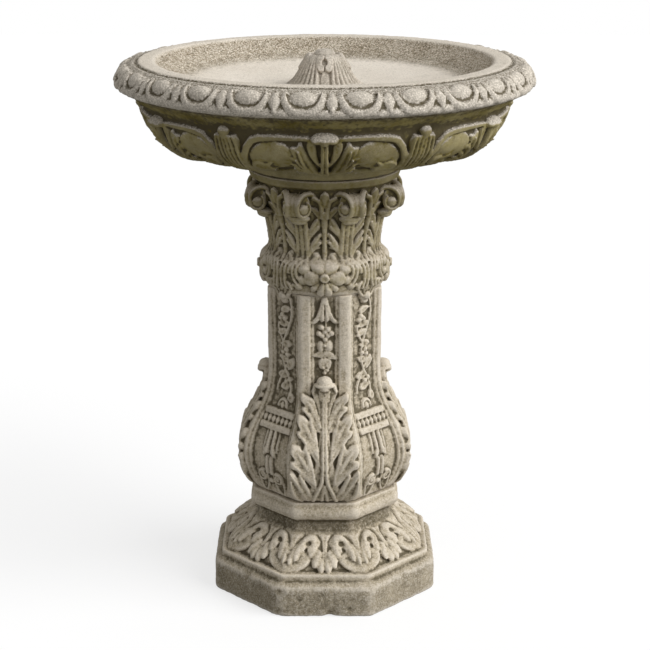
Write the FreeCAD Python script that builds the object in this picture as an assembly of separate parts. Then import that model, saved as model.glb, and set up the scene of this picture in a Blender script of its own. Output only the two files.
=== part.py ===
import FreeCAD, Part
import math
import os

# Stone birdbath on an octagonal pedestal. Millimetres, +Z up, origin at the middle of the underside.
# One flat of the octagon faces -Y. Octagonal sizes are measured across flats.

# Plinth
FOOT_FLATS = 360.0
FOOT_HEIGHT = 50.0
LEDGE_RISE = 8.0
STEP_FLATS = 338.0
STEP_HEIGHT = 9.0
SKIRT_FLATS = 314.0
SKIRT_HEIGHT = 45.0
SKIRT_SWELL = 4.0
NECK_FLATS = 222.0
NECK_TAPER = 4.5
NECK_HEIGHT = 23.0
BEAD_SWELL = 14.0
BEAD_SHOULDER = 9.5
BEAD_HEIGHT = 33.0
SKIRT_LEAF_RELIEF = 6.0
CORNER_LEAF_WIDTH = 62.0
FACE_LEAF_WIDTH = 34.0
LEAF_SETBACK = 2.5

# Shaft: bulb below, panelled shaft above
SHAFT_LENGTH = 335.0
SHAFT_FLATS = 181.0
BULB_FOOT_FLATS = 226.0
BULB_LOW_FLATS = 254.0
BULB_LOW_LEVEL = 15.0
BULB_BELLY_FLATS = 270.0
BULB_BELLY_LEVEL = 60.0
BULB_SHOULDER_FLATS = 232.0
BULB_SHOULDER_LEVEL = 122.0
BULB_SWELL = 4.0
BULB_HOLLOW = 4.0
BULB_HEIGHT = 178.0
BULB_LEAF_RELIEF = 7.0
BULB_RIB_RELIEF = 9.5
BULB_RIB_WIDTH = 10.0
KNOB_LENGTH = 37.0
KNOB_WIDTH = 22.0
KNOB_PROUD = 5.0
KNOB_RISE = 15.0
PANEL_WIDTH = 45.0
PANEL_DEPTH = 6.0
PANEL_MARGIN = 7.0
CORNER_PANEL_DEPTH = 7.0
PANEL_CARVING_RELIEF = 5.0
BAR_LENGTH = 70.0
BAR_HEIGHT = 9.0
BAR_LEVELS = (114.0, 136.0)
TASSEL_WIDTH = 22.0
TASSEL_LEVELS = (40.0, 112.0)
SCROLL_RADIUS = 9.5
SCROLL_SPREAD = 17.0
SCROLL_LEVEL = 31.0
ARCH_RADIUS = 10.0
ARCH_LEVEL = 148.0
VINE_WIDTH = 5.0
VINE_LEAF_RADIUS = 8.5
VINE_LEAF_ASIDE = 8.0
VINE_LEAVES = 5
VINE_LEVELS = (166.0, 322.0)
POD_RADIUS = 7.0
POD_SPREAD = 5.5
POD_LEVELS = (235.0, 252.0, 270.0)

# Half outlines of the shaft's carving: distance from the middle line, level above the shaft's foot
BULB_LEAF_HALF = (
    (0, 8), (24, 6), (42, 9), (52, 16), (57, 30), (57, 46), (54, 58), (43, 50), (39, 57), (31, 42),
    (28, 42), (36, 60), (52, 67), (54, 75), (48, 80), (53, 90), (51, 99), (36, 95), (30, 103), (26, 99),
    (21, 85), (18, 85), (23, 99), (30, 108), (40, 113), (43, 119), (39, 124), (42, 133), (41, 142), (26, 135),
    (22, 141), (13, 123), (10, 123), (15, 139), (24, 147), (33, 150), (35, 154), (30, 158), (36, 165),
    (36, 175), (18, 167), (20, 180), (0, 180),
)
CORNER_PANEL_HALF = ((20, 4), (31, 15), (37, 45), (37, 85), (33, 120))
FLOWER_HALF = ((0, 329), (5, 327), (9, 314), (21, 291), (8, 297), (0, 293))

# Capital: collar with rosettes, bell with volutes, round abacus
COLLAR_RADIUS = 99.0
COLLAR_SWELL = 7.0
COLLAR_HEIGHT = 55.0
ROSETTE_PETALS = 7
ROSETTE_RADIUS = 19.0
PETAL_RADIUS = 10.0
ROSETTE_PROUD = 5.0
ROSETTE_RISE = 3.5
BUTTON_RADIUS = 7.5
BELL_STEP = 5.0
BELL_FOOT_RADIUS = 87.0
BELL_HOLLOW = 4.0
BELL_TOP_RADIUS = 108.0
BELL_HEIGHT = 112.0
VOLUTE_RADIUS = 19.5
VOLUTE_SPREAD = 30.0
VOLUTE_PROUD = 15.0
VOLUTE_DROP = 29.0
EYE_RADIUS = 8.5
EYE_PROUD = 3.0
CURL_RADIUS = 8.0
CURL_LENGTH = 33.0
CURL_DROP = 24.5
CURL_PROUD = 13.0
ABACUS_RADIUS = 120.0
ABACUS_CHAMFER = 5.0
ABACUS_HEIGHT = 13.0

# Basin
BASIN_FOOT_RADIUS = 125.0
BASIN_FOOT_HEIGHT = 19.0
BASIN_FOOT_EASE = 4.0
UNDERSIDE_RISE = 22.0
UNDERSIDE_RADIUS = 222.0
BELLY_RADIUS = 280.0
BELLY_RISE = 55.0
BELLY_SAG = 13.0
COVE_RISE = 31.5
COVE_HOLLOW = 4.3
LIP_RADIUS = 322.0
LIP_EDGE = 5.5
LIP_UNDERCUT = 8.0
LIP_ROUND = 1.6
OVOLO_RISE = 31.0
OVOLO_SWELL = 7.0
GROOVE_RADIUS = 292.0
GROOVE_DEPTH = 4.0
GROOVE_WIDTH = 4.0
BAND_WIDTH = 26.0
BOWL_DEPTH = 30.0
FLOOR_RADIUS = 213.0
FLOOR_DISH = 14.0
EGG_COUNT = 25
EGG_LENGTH = 58.0
EGG_WIDTH = 34.0
EGG_PROUD = 5.0
EGG_TURN = 9.03
BASIN_LEAVES = 6
BASIN_LEAF_RELIEF = 6.0
BASIN_LEAF_WIDTH = 60.0
BASIN_RIB_WIDTH = 10.0
BASIN_HOOD_LENGTH = 42.0
BASIN_HOOD_WIDTH = 20.0
BASIN_HOOD_RISE = 2.0
MEDALLION_RADIUS = 26.0
MEDALLION_TURN = 16.4
MEDALLION_REACH = 262.0
MEDALLION_RISE = 22.0
MEDALLION_LEAN = 45.0
RIBBON_RADIUS = 40.0
RIBBON_WIDTH = 8.0
BUD_RADIUS = 10.0
BUD_RISE = 4.5

# Half outlines of the carving under the bowl: distance from the middle line, level above the belly's foot
BASIN_FAN = ((5, -2), (30, 3), (47, 10), (47, 41), (33, 50), (24, 30), (25, 48), (19, 54), (12, 48), (5, 30))
BASIN_SHEAF_HALF = ((5, -2), (14, 25), (16, 50))

# Boss in the middle of the bowl
BOSS_RADIUS = 61.0
BOSS_HEIGHT = 62.0
BOSS_SHOULDER_RADIUS = 27.0
BOSS_CAP_RADIUS = 15.0
BOSS_CAP_HEIGHT = 10.0
BOSS_FLARE = 5.0
BOSS_LOBES = 6
BOSS_LOBE_RADIUS = 11.0
BOSS_LOBE_DROP = 20.0
BOSS_LOBE_PROUD = 3.0
BOSS_SEAT_DEPTH = 4.0
BOSS_SEAT_CLEARANCE = 1.0

# Joints between the stones
JOINT_WIDTH = 2.0
PAD_LENGTH = 30.0
PAD_WIDTH = 18.0
PAD_MARGIN = 12.0
PADS_PER_JOINT = 4
PLINTH_DOWEL_DIAMETER = 20.0
PLINTH_DOWEL_REACH = 70.0
SHAFT_DOWEL_DIAMETER = 16.0
SHAFT_DOWEL_REACH = 55.0
CAPITAL_DOWEL_DIAMETER = 20.0
CAPITAL_DOWEL_REACH = 60.0
BOSS_DOWEL_DIAMETER = 10.0
BOSS_DOWEL_REACH = 25.0
GROUT_WALL = 6.0
GROUT_CLEARANCE = 0.05
SOCKET_CLEARANCE = 1.5
SOCKET_END_CLEARANCE = 5.0

# Counts and directions that follow from the octagon
SIDES = 8
SIDE_TURN = 360.0 / SIDES
CORNER_TURN = SIDE_TURN / 2
MAIN_FACES = 4
CORNER_RATIO = 1 / math.cos(math.radians(CORNER_TURN))
AXIS = FreeCAD.Vector(0, 0, 1)
FRONT = FreeCAD.Vector(0, -1, 0)
ACROSS = FreeCAD.Vector(1, 0, 0)
ORIGIN = FreeCAD.Vector(0, 0, 0)

# Levels of the stones' feet and tops
STEP_LEVEL = FOOT_HEIGHT + LEDGE_RISE
SKIRT_LEVEL = STEP_LEVEL + STEP_HEIGHT
NECK_LEVEL = SKIRT_LEVEL + SKIRT_HEIGHT
BEAD_LEVEL = NECK_LEVEL + NECK_HEIGHT
PLINTH_TOP = BEAD_LEVEL + BEAD_HEIGHT
SHAFT_FOOT = PLINTH_TOP + JOINT_WIDTH
SHAFT_TOP = SHAFT_FOOT + SHAFT_LENGTH
CAPITAL_FOOT = SHAFT_TOP + JOINT_WIDTH
COLLAR_TOP = CAPITAL_FOOT + COLLAR_HEIGHT
BELL_TOP = COLLAR_TOP + BELL_STEP + BELL_HEIGHT
CAPITAL_TOP = BELL_TOP + ABACUS_HEIGHT
BASIN_FOOT = CAPITAL_TOP + JOINT_WIDTH
UNDERSIDE_LEVEL = BASIN_FOOT + BASIN_FOOT_HEIGHT
BELLY_LEVEL = UNDERSIDE_LEVEL + UNDERSIDE_RISE
COVE_LEVEL = BELLY_LEVEL + BELLY_RISE
LIP_LEVEL = COVE_LEVEL + COVE_RISE
OVOLO_LEVEL = LIP_LEVEL + LIP_EDGE
RIM_LEVEL = OVOLO_LEVEL + OVOLO_RISE + GROOVE_DEPTH
FLOOR_LEVEL = RIM_LEVEL - BOWL_DEPTH
FLOOR_MIDDLE = FLOOR_LEVEL - FLOOR_DISH
BOSS_FOOT = FLOOR_MIDDLE - BOSS_SEAT_DEPTH

# The spaces that carving is cut from reach out as far as the widest stone
CARVING_REACH = LIP_RADIUS


def point(radius, level):
    """A point of an outline, in the plane y = 0."""
    return FreeCAD.Vector(radius, 0, level)


def line(start, end):
    return Part.LineSegment(point(*start), point(*end)).toShape()


def arc(start, middle, end):
    return Part.Arc(point(*start), point(*middle), point(*end)).toShape()


def bulged(start, end, bulge):
    """The middle of an arc that stands out by bulge, to the right of the way from start to end."""
    along = (end[0] - start[0], end[1] - start[1])
    offset = bulge / math.hypot(*along)
    return ((start[0] + end[0]) / 2 + offset * along[1], (start[1] + end[1]) / 2 - offset * along[0])


def outline_face(edges):
    return Part.Face(Part.Wire(Part.__sortEdges__(edges)))


def turned(edges, bottom, top):
    """A round solid from the edges of its outline, between two levels on the axis."""
    first = edges[0].Vertexes[0].Point
    last = edges[-1].Vertexes[-1].Point
    closing = [
        line((0, bottom), (first.x, first.z)),
        line((last.x, last.z), (0, top)),
        line((0, top), (0, bottom)),
    ]
    return outline_face(edges + closing).revolve(ORIGIN, AXIS, 360)


def octagonal(edges):
    """A solid that is an octagon at each level, from the edges of its half outline."""
    first = edges[0].Vertexes[0].Point
    last = edges[-1].Vertexes[-1].Point
    other_side = [edge.mirror(ORIGIN, ACROSS) for edge in edges]
    closing = [line((-first.x, first.z), (first.x, first.z)), line((last.x, last.z), (-last.x, last.z))]
    face = outline_face(edges + other_side + closing)
    reach = 2 * face.BoundBox.XMax
    face.translate(FreeCAD.Vector(0, -reach, 0))
    prism = face.extrude(FreeCAD.Vector(0, 2 * reach, 0))
    solid = prism
    for turn in range(1, MAIN_FACES):
        solid = solid.common(around(prism, turn * SIDE_TURN))
    return solid


def around(shape, degrees):
    """A copy of a shape, turned about the axis."""
    copy = shape.copy()
    copy.rotate(ORIGIN, AXIS, degrees)
    return copy


def ring_of(shape, count, first=0.0):
    return [around(shape, first + index * 360.0 / count) for index in range(count)]


def upright(radius, height, level):
    return Part.makeCylinder(radius, height, FreeCAD.Vector(0, 0, level))


def rod_outwards(radius, inner, outer, sideways, level):
    """A round rod that points to the front, from one distance from the axis to another."""
    return Part.makeCylinder(radius, outer - inner, FreeCAD.Vector(sideways, -inner, level), FRONT)


def rod_across(radius, length, outwards, level):
    """A round rod along X, in front of the axis."""
    return Part.makeCylinder(radius, length, FreeCAD.Vector(-length / 2, -outwards, level), ACROSS)


def roll(length, width, outwards, level):
    """A rod with round ends that lies along X, in front of the axis."""
    radius = width / 2
    bend = length / 2 - radius
    slant = radius * math.sqrt(0.5)
    half = [
        arc((-length / 2, 0), (-bend - slant, slant), (-bend, radius)),
        line((-bend, radius), (bend, radius)),
        arc((bend, radius), (bend + slant, slant), (length / 2, 0)),
        line((length / 2, 0), (-length / 2, 0)),
    ]
    body = outline_face(half).revolve(ORIGIN, ACROSS, 360)
    body.translate(FreeCAD.Vector(0, -outwards, level))
    return body


def space_before(outline, foot):
    """The space in front of a closed outline of (sideways, level) points, with levels above a foot."""
    corners = [FreeCAD.Vector(sideways, 0, foot + level) for sideways, level in outline]
    face = Part.Face(Part.makePolygon(corners + corners[:1]))
    return face.extrude(FRONT * CARVING_REACH)


def mirrored_outline(half):
    return [*half, *((-sideways, level) for sideways, level in reversed(half))]


def with_mirror(shape):
    return [shape, shape.mirror(ORIGIN, ACROSS)]


def bar_before(width, bottom, top):
    """The space in front of an upright strip about the middle line, between two levels."""
    corner = FreeCAD.Vector(-width / 2, -CARVING_REACH, bottom)
    return Part.makeBox(width, CARVING_REACH, top - bottom, corner)


def ball(radius, outwards, level):
    """A ball in front of the axis, with its poles at its sides."""
    return Part.makeSphere(radius, FreeCAD.Vector(0, -outwards, level), ACROSS)


def joined(shape, *groups):
    """The shape with groups of carved pieces added, one group after another."""
    for group in groups:
        shape = shape.fuse(group)
    return shape.removeSplitter()


def skirt_edges(relief):
    """The skirt's rounded slope, raised by relief."""
    foot = (SKIRT_FLATS / 2 + relief, SKIRT_LEVEL)
    top = (NECK_FLATS / 2, NECK_LEVEL + relief)
    return [arc(foot, bulged(foot, top, SKIRT_SWELL), top)]


def skirt_leaf(width, tip):
    """The space above one leaf, a strip with a round end that points to the front."""
    length = tip - width / 2
    round_end = upright(width / 2, NECK_LEVEL, SKIRT_LEVEL)
    round_end.translate(FRONT * length)
    strip = Part.makeBox(width, length, NECK_LEVEL, FreeCAD.Vector(-width / 2, -length, SKIRT_LEVEL))
    return strip.fuse(round_end)


def make_plinth():
    foot = FOOT_FLATS / 2
    step = STEP_FLATS / 2
    skirt = SKIRT_FLATS / 2
    neck = NECK_FLATS / 2
    throat = neck - NECK_TAPER
    bead_middle = (throat + BEAD_SWELL, (BEAD_LEVEL + PLINTH_TOP) / 2)
    body = octagonal([
        line((foot, 0), (foot, FOOT_HEIGHT)),
        line((foot, FOOT_HEIGHT), (step, STEP_LEVEL)),
        line((step, STEP_LEVEL), (step, SKIRT_LEVEL)),
        line((step, SKIRT_LEVEL), (skirt, SKIRT_LEVEL)),
        *skirt_edges(0),
        line((neck, NECK_LEVEL), (throat, BEAD_LEVEL)),
        arc((throat, BEAD_LEVEL), bead_middle, (throat + BEAD_SHOULDER, PLINTH_TOP)),
    ])
    raised = octagonal(skirt_edges(SKIRT_LEAF_RELIEF))
    tip = SKIRT_FLATS / 2 + SKIRT_LEAF_RELIEF
    corner_leaf = skirt_leaf(CORNER_LEAF_WIDTH, tip * CORNER_RATIO - LEAF_SETBACK)
    face_leaf = skirt_leaf(FACE_LEAF_WIDTH, tip - LEAF_SETBACK)
    strips = ring_of(corner_leaf, SIDES, CORNER_TURN) + ring_of(face_leaf, SIDES)
    leaves = [raised.common(strip) for strip in strips]
    body = joined(body, leaves)
    return body.cut(grout_socket(PLINTH_DOWEL_DIAMETER, PLINTH_DOWEL_REACH, PLINTH_TOP))


def bulb_edges(relief):
    """The bulb's outline, raised by relief, from its foot to the shaft."""
    foot = (BULB_FOOT_FLATS / 2 + relief, SHAFT_FOOT)
    low = (BULB_LOW_FLATS / 2 + relief, SHAFT_FOOT + BULB_LOW_LEVEL)
    belly = (BULB_BELLY_FLATS / 2 + relief, SHAFT_FOOT + BULB_BELLY_LEVEL)
    shoulder = (BULB_SHOULDER_FLATS / 2 + relief, SHAFT_FOOT + BULB_SHOULDER_LEVEL)
    neck = (SHAFT_FLATS / 2 + relief, SHAFT_FOOT + BULB_HEIGHT)
    return [
        arc(foot, low, belly),
        arc(belly, bulged(belly, shoulder, BULB_SWELL), shoulder),
        arc(shoulder, bulged(shoulder, neck, -BULB_HOLLOW), neck),
    ]


def shaft_form(relief):
    """The bulb and the plain shaft above it, raised by relief."""
    side = SHAFT_FLATS / 2 + relief
    return octagonal(bulb_edges(relief) + [line((side, SHAFT_FOOT + BULB_HEIGHT), (side, SHAFT_TOP))])


def main_panel(bottom):
    """The space of the sunk panel above the knob, on the front face."""
    height = SHAFT_TOP - PANEL_MARGIN - bottom
    corner = FreeCAD.Vector(-PANEL_WIDTH / 2, -SHAFT_FLATS, bottom)
    return Part.makeBox(PANEL_WIDTH, SHAFT_FLATS / 2 + PANEL_DEPTH, height, corner)


def corner_panel():
    """What is cut away for the long panel of a diagonal face, from the bulb's foot to the shaft's top."""
    half = PANEL_WIDTH / 2
    outline = mirrored_outline([*CORNER_PANEL_HALF, (half, BULB_HEIGHT), (half, SHAFT_LENGTH - PANEL_MARGIN)])
    return space_before(outline, SHAFT_FOOT).cut(shaft_form(-CORNER_PANEL_DEPTH))


def bulb_leaf():
    """The leaf on a main face of the bulb: two halves with their lobes, and the midrib."""
    blade = octagonal(bulb_edges(BULB_LEAF_RELIEF)).common(space_before(BULB_LEAF_HALF, SHAFT_FOOT))
    rib_space = bar_before(BULB_RIB_WIDTH, SHAFT_FOOT, SHAFT_FOOT + BULB_HEIGHT)
    rib = octagonal(bulb_edges(BULB_RIB_RELIEF)).common(rib_space)
    return [*with_mirror(blade), rib]


def rods_before(radius, places):
    """Round spaces in front of (sideways, level) places above the shaft's foot."""
    return [rod_outwards(radius, 0, CARVING_REACH, aside, SHAFT_FOOT + level) for aside, level in places]


def flower_drop():
    """The space in front of a main panel's bell flower, with the pods and leaves that hang below it."""
    pods = [(side * POD_SPREAD, level) for level in POD_LEVELS for side in (-1, 1)]
    flower = space_before(FLOWER_HALF, SHAFT_FOOT)
    return [*with_mirror(flower), *rods_before(POD_RADIUS, pods)]


def vine_and_pendant():
    """The space in front of a diagonal panel's carving: vine above, bars, tassel and scrolls on the bulb."""
    foot, top = VINE_LEVELS
    step = (top - foot) / (VINE_LEAVES - 1)
    leaves = [(VINE_LEAF_ASIDE * (-1) ** index, foot + index * step) for index in range(VINE_LEAVES)]
    scrolls = [(-SCROLL_SPREAD, SCROLL_LEVEL), (SCROLL_SPREAD, SCROLL_LEVEL)]
    bar_feet = [SHAFT_FOOT + level for level in BAR_LEVELS]
    return [
        *(bar_before(BAR_LENGTH, bar_foot, bar_foot + BAR_HEIGHT) for bar_foot in bar_feet),
        bar_before(VINE_WIDTH, SHAFT_FOOT + foot, SHAFT_FOOT + top),
        bar_before(TASSEL_WIDTH, SHAFT_FOOT + TASSEL_LEVELS[0], SHAFT_FOOT + TASSEL_LEVELS[1]),
        *rods_before(VINE_LEAF_RADIUS, leaves),
        *rods_before(SCROLL_RADIUS, scrolls),
        *rods_before(ARCH_RADIUS, [(0, ARCH_LEVEL)]),
    ]


def make_shaft():
    knob_level = SHAFT_FOOT + BULB_HEIGHT + KNOB_RISE
    body = shaft_form(0)
    body = body.cut(ring_of(main_panel(knob_level + KNOB_WIDTH / 2 + PANEL_MARGIN), MAIN_FACES))
    body = body.cut(ring_of(corner_panel(), MAIN_FACES, SIDE_TURN))
    carved = shaft_form(PANEL_CARVING_RELIEF - CORNER_PANEL_DEPTH)
    drops = [carved.common(space) for space in flower_drop()]
    pendants = [carved.common(space) for space in vine_and_pendant()]
    knob = roll(KNOB_LENGTH, KNOB_WIDTH, SHAFT_FLATS / 2 + KNOB_PROUD, knob_level)
    main_side = Part.makeCompound([*bulb_leaf(), *drops, knob])
    corner_side = Part.makeCompound(pendants)
    for side, first in ((main_side, 0), (corner_side, SIDE_TURN)):
        for copy in ring_of(side, MAIN_FACES, first):
            body = body.fuse(copy.Solids)
    body = body.removeSplitter()
    body = body.cut(loose_socket(PLINTH_DOWEL_DIAMETER, PLINTH_DOWEL_REACH, SHAFT_FOOT))
    return body.cut(grout_socket(SHAFT_DOWEL_DIAMETER, SHAFT_DOWEL_REACH, SHAFT_TOP))


def rosette():
    """A flower on the collar, at the front."""
    level = (CAPITAL_FOOT + COLLAR_TOP) / 2 + ROSETTE_RISE
    inner = COLLAR_RADIUS / 2
    face = COLLAR_RADIUS + ROSETTE_PROUD
    pieces = [ball(BUTTON_RADIUS, face, level)]
    for index in range(ROSETTE_PETALS):
        angle = math.radians(90 + 360.0 * (index + 0.5) / ROSETTE_PETALS)
        aside = ROSETTE_RADIUS * math.cos(angle)
        rise = ROSETTE_RADIUS * math.sin(angle)
        pieces.append(rod_outwards(PETAL_RADIUS, inner, face, aside, level + rise))
    return pieces[0].fuse(pieces[1:])


def volutes():
    """The pair of scrolls at the top of one face of the bell, with their eyes."""
    level = BELL_TOP - VOLUTE_DROP
    inner = BELL_FOOT_RADIUS / 2
    face = BELL_TOP_RADIUS + VOLUTE_PROUD
    pieces = []
    for aside in (-VOLUTE_SPREAD, VOLUTE_SPREAD):
        pieces.append(rod_outwards(VOLUTE_RADIUS, inner, face, aside, level))
        pieces.append(rod_outwards(EYE_RADIUS, inner, face + EYE_PROUD, aside, level))
    return pieces[0].fuse(pieces[1:])


def make_capital():
    edge = COLLAR_RADIUS - COLLAR_SWELL
    bell_foot = (BELL_FOOT_RADIUS, COLLAR_TOP + BELL_STEP)
    bell_top = (BELL_TOP_RADIUS, BELL_TOP)
    body = turned([
        arc((edge, CAPITAL_FOOT), (COLLAR_RADIUS, (CAPITAL_FOOT + COLLAR_TOP) / 2), (edge, COLLAR_TOP)),
        line((edge, COLLAR_TOP), bell_foot),
        arc(bell_foot, bulged(bell_foot, bell_top, -BELL_HOLLOW), bell_top),
        line(bell_top, (ABACUS_RADIUS - ABACUS_CHAMFER, BELL_TOP)),
        line((ABACUS_RADIUS - ABACUS_CHAMFER, BELL_TOP), (ABACUS_RADIUS, BELL_TOP + ABACUS_CHAMFER)),
        line((ABACUS_RADIUS, BELL_TOP + ABACUS_CHAMFER), (ABACUS_RADIUS, CAPITAL_TOP)),
    ], CAPITAL_FOOT, CAPITAL_TOP)
    volute_level = BELL_TOP - VOLUTE_DROP
    curl_reach = (BELL_FOOT_RADIUS + BELL_TOP_RADIUS) / 2 + CURL_PROUD - CURL_RADIUS
    curl = rod_across(CURL_RADIUS, CURL_LENGTH, curl_reach, volute_level - CURL_DROP)
    curls = ring_of(curl, SIDES, CORNER_TURN)
    body = joined(body, ring_of(volutes(), SIDES), curls, ring_of(rosette(), MAIN_FACES))
    body = body.cut(loose_socket(SHAFT_DOWEL_DIAMETER, SHAFT_DOWEL_REACH, CAPITAL_FOOT))
    return body.cut(grout_socket(CAPITAL_DOWEL_DIAMETER, CAPITAL_DOWEL_REACH, CAPITAL_TOP))


def underside_edges(relief):
    """The bowl's underside from its foot ring to the cove, lowered by relief."""
    start = (BASIN_FOOT_RADIUS - BASIN_FOOT_EASE, UNDERSIDE_LEVEL - relief)
    turn = (UNDERSIDE_RADIUS, BELLY_LEVEL - relief)
    end = (BELLY_RADIUS + relief, COVE_LEVEL)
    return [line(start, turn), arc(turn, bulged(turn, end, BELLY_SAG), end)]


def ovolo_ends():
    """The lower and upper end of the lip's rounded face."""
    return (LIP_RADIUS, OVOLO_LEVEL), (GROOVE_RADIUS, RIM_LEVEL - GROOVE_DEPTH)


def egg():
    """An egg of the lip's ornament, at the front."""
    left = (-EGG_LENGTH / 2, 0)
    right = (EGG_LENGTH / 2, 0)
    half = [arc(left, (0, EGG_WIDTH / 2), right), line(right, left)]
    body = outline_face(half).revolve(ORIGIN, ACROSS, 360)
    middle = bulged(*ovolo_ends(), OVOLO_SWELL + EGG_PROUD - EGG_WIDTH / 2)
    body.translate(FreeCAD.Vector(0, -middle[0], middle[1]))
    return body


def basin_leaf():
    """The space under the flat part of one leaf of the bowl, pointed at both ends, at the front."""
    root = FreeCAD.Vector(0, -(BASIN_FOOT_RADIUS - BASIN_FOOT_EASE), BASIN_FOOT)
    tip = FreeCAD.Vector(0, -BELLY_RADIUS, BASIN_FOOT)
    middle = (root + tip) / 2
    aside = FreeCAD.Vector(BASIN_LEAF_WIDTH / 2, 0, 0)
    edges = [Part.Arc(root, middle + aside, tip).toShape(), Part.Arc(tip, middle - aside, root).toShape()]
    return outline_face(edges).extrude(FreeCAD.Vector(0, 0, COVE_LEVEL - BASIN_FOOT))


def rod_through_wall(radius):
    """A round space through the belly's wall, square to it, at a medallion's distance and level."""
    lean = math.radians(MEDALLION_LEAN)
    outwards = FreeCAD.Vector(0, -math.cos(lean), -math.sin(lean))
    middle = FreeCAD.Vector(0, -MEDALLION_REACH, BELLY_LEVEL + MEDALLION_RISE)
    return Part.makeCylinder(radius, 2 * RIBBON_RADIUS, middle - outwards * RIBBON_RADIUS, outwards)


def basin_carving():
    """One sixth of the carving under the bowl: leaf, hood, a medallion on each side, and the bud's sheaf."""
    raised = turned(underside_edges(BASIN_LEAF_RELIEF), UNDERSIDE_LEVEL - BASIN_LEAF_RELIEF, COVE_LEVEL)
    ribbon = rod_through_wall(RIBBON_RADIUS).cut(rod_through_wall(RIBBON_RADIUS - RIBBON_WIDTH))
    round_pieces = [raised.common(rod_through_wall(MEDALLION_RADIUS)), raised.common(ribbon)]
    fan = raised.common(space_before(BASIN_FAN, BELLY_LEVEL))
    rib = raised.common(bar_before(BASIN_RIB_WIDTH, UNDERSIDE_LEVEL, COVE_LEVEL))
    sheaf = raised.common(space_before(mirrored_outline(BASIN_SHEAF_HALF), BELLY_LEVEL))
    bud = ball(BUD_RADIUS, BELLY_RADIUS, COVE_LEVEL + BUD_RISE)
    hood = roll(BASIN_HOOD_LENGTH, BASIN_HOOD_WIDTH, BELLY_RADIUS, COVE_LEVEL + BASIN_HOOD_RISE)
    between = 180.0 / BASIN_LEAVES
    return [
        raised.common(basin_leaf()), rib, *with_mirror(fan), hood,
        *(around(piece, turn) for piece in round_pieces for turn in (-MEDALLION_TURN, MEDALLION_TURN)),
        around(sheaf, between), around(bud, between),
    ]


def make_basin():
    foot_bottom = (BASIN_FOOT_RADIUS - BASIN_FOOT_EASE, BASIN_FOOT)
    foot_top = (BASIN_FOOT_RADIUS - BASIN_FOOT_EASE, UNDERSIDE_LEVEL)
    ovolo_start, ovolo_end = ovolo_ends()
    band = GROOVE_RADIUS - GROOVE_WIDTH
    cove_start = (BELLY_RADIUS, COVE_LEVEL)
    cove_end = (LIP_RADIUS - LIP_UNDERCUT, LIP_LEVEL)
    seat = BOSS_RADIUS + BOSS_SEAT_CLEARANCE
    body = turned([
        arc(foot_bottom, bulged(foot_bottom, foot_top, BASIN_FOOT_EASE), foot_top),
        *underside_edges(0),
        arc(cove_start, bulged(cove_start, cove_end, -COVE_HOLLOW), cove_end),
        arc(cove_end, bulged(cove_end, ovolo_start, LIP_ROUND), ovolo_start),
        arc(ovolo_start, bulged(ovolo_start, ovolo_end, OVOLO_SWELL), ovolo_end),
        line(ovolo_end, (band, RIM_LEVEL - GROOVE_DEPTH)),
        line((band, RIM_LEVEL - GROOVE_DEPTH), (band, RIM_LEVEL)),
        line((band, RIM_LEVEL), (band - BAND_WIDTH, RIM_LEVEL)),
        line((band - BAND_WIDTH, RIM_LEVEL), (FLOOR_RADIUS, FLOOR_LEVEL)),
        line((FLOOR_RADIUS, FLOOR_LEVEL), (seat, FLOOR_MIDDLE)),
        line((seat, FLOOR_MIDDLE), (seat, BOSS_FOOT)),
    ], BASIN_FOOT, BOSS_FOOT)
    # The seam of the turned surfaces lies between two eggs
    body = around(body, EGG_TURN + 180.0 / EGG_COUNT - 90.0)
    for copy in ring_of(Part.makeCompound(basin_carving()), BASIN_LEAVES):
        body = body.fuse(copy.Solids)
    body = joined(body, ring_of(egg(), EGG_COUNT, EGG_TURN))
    body = body.cut(loose_socket(CAPITAL_DOWEL_DIAMETER, CAPITAL_DOWEL_REACH, BASIN_FOOT))
    socket_radius = BOSS_DOWEL_DIAMETER / 2 + SOCKET_CLEARANCE
    socket_depth = BOSS_DOWEL_REACH + SOCKET_END_CLEARANCE
    return body.cut(upright(socket_radius, socket_depth, BOSS_FOOT - socket_depth))


def make_boss():
    shoulder_level = BOSS_FOOT + BOSS_HEIGHT - BOSS_CAP_HEIGHT
    foot = (BOSS_RADIUS, BOSS_FOOT + BOSS_SEAT_DEPTH)
    shoulder = (BOSS_SHOULDER_RADIUS, shoulder_level)
    cone = [line((BOSS_RADIUS, BOSS_FOOT), foot), arc(foot, bulged(foot, shoulder, -BOSS_FLARE), shoulder)]
    body = turned(cone, BOSS_FOOT, shoulder_level)
    cap = ball(BOSS_CAP_RADIUS, 0, BOSS_FOOT + BOSS_HEIGHT - BOSS_CAP_RADIUS)
    lobe_reach = BOSS_SHOULDER_RADIUS + BOSS_LOBE_PROUD
    lobe = ball(BOSS_LOBE_RADIUS, lobe_reach, shoulder_level - BOSS_LOBE_DROP)
    body = joined(body, [cap], ring_of(lobe, BOSS_LOBES))
    return body.cut(upright(BOSS_DOWEL_DIAMETER / 2 + GROUT_CLEARANCE, BOSS_DOWEL_REACH, BOSS_FOOT))


def grout_socket(diameter, reach, top):
    """The hole in a lower stone that takes a dowel and the grout round it."""
    return upright(diameter / 2 + GROUT_WALL, reach, top - reach)


def loose_socket(diameter, reach, foot):
    """The hole in an upper stone that drops over a dowel."""
    return upright(diameter / 2 + SOCKET_CLEARANCE, reach + SOCKET_END_CLEARANCE, foot)


def make_dowel(diameter, reach, joint_level):
    """A dowel that reaches as far below a joint as above it."""
    return upright(diameter / 2, 2 * reach + JOINT_WIDTH, joint_level - reach)


def make_grout(diameter, reach, top):
    sleeve = upright(diameter / 2 + GROUT_WALL - GROUT_CLEARANCE, reach, top - reach)
    return sleeve.cut(upright(diameter / 2 + GROUT_CLEARANCE, reach, top - reach))


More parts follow.
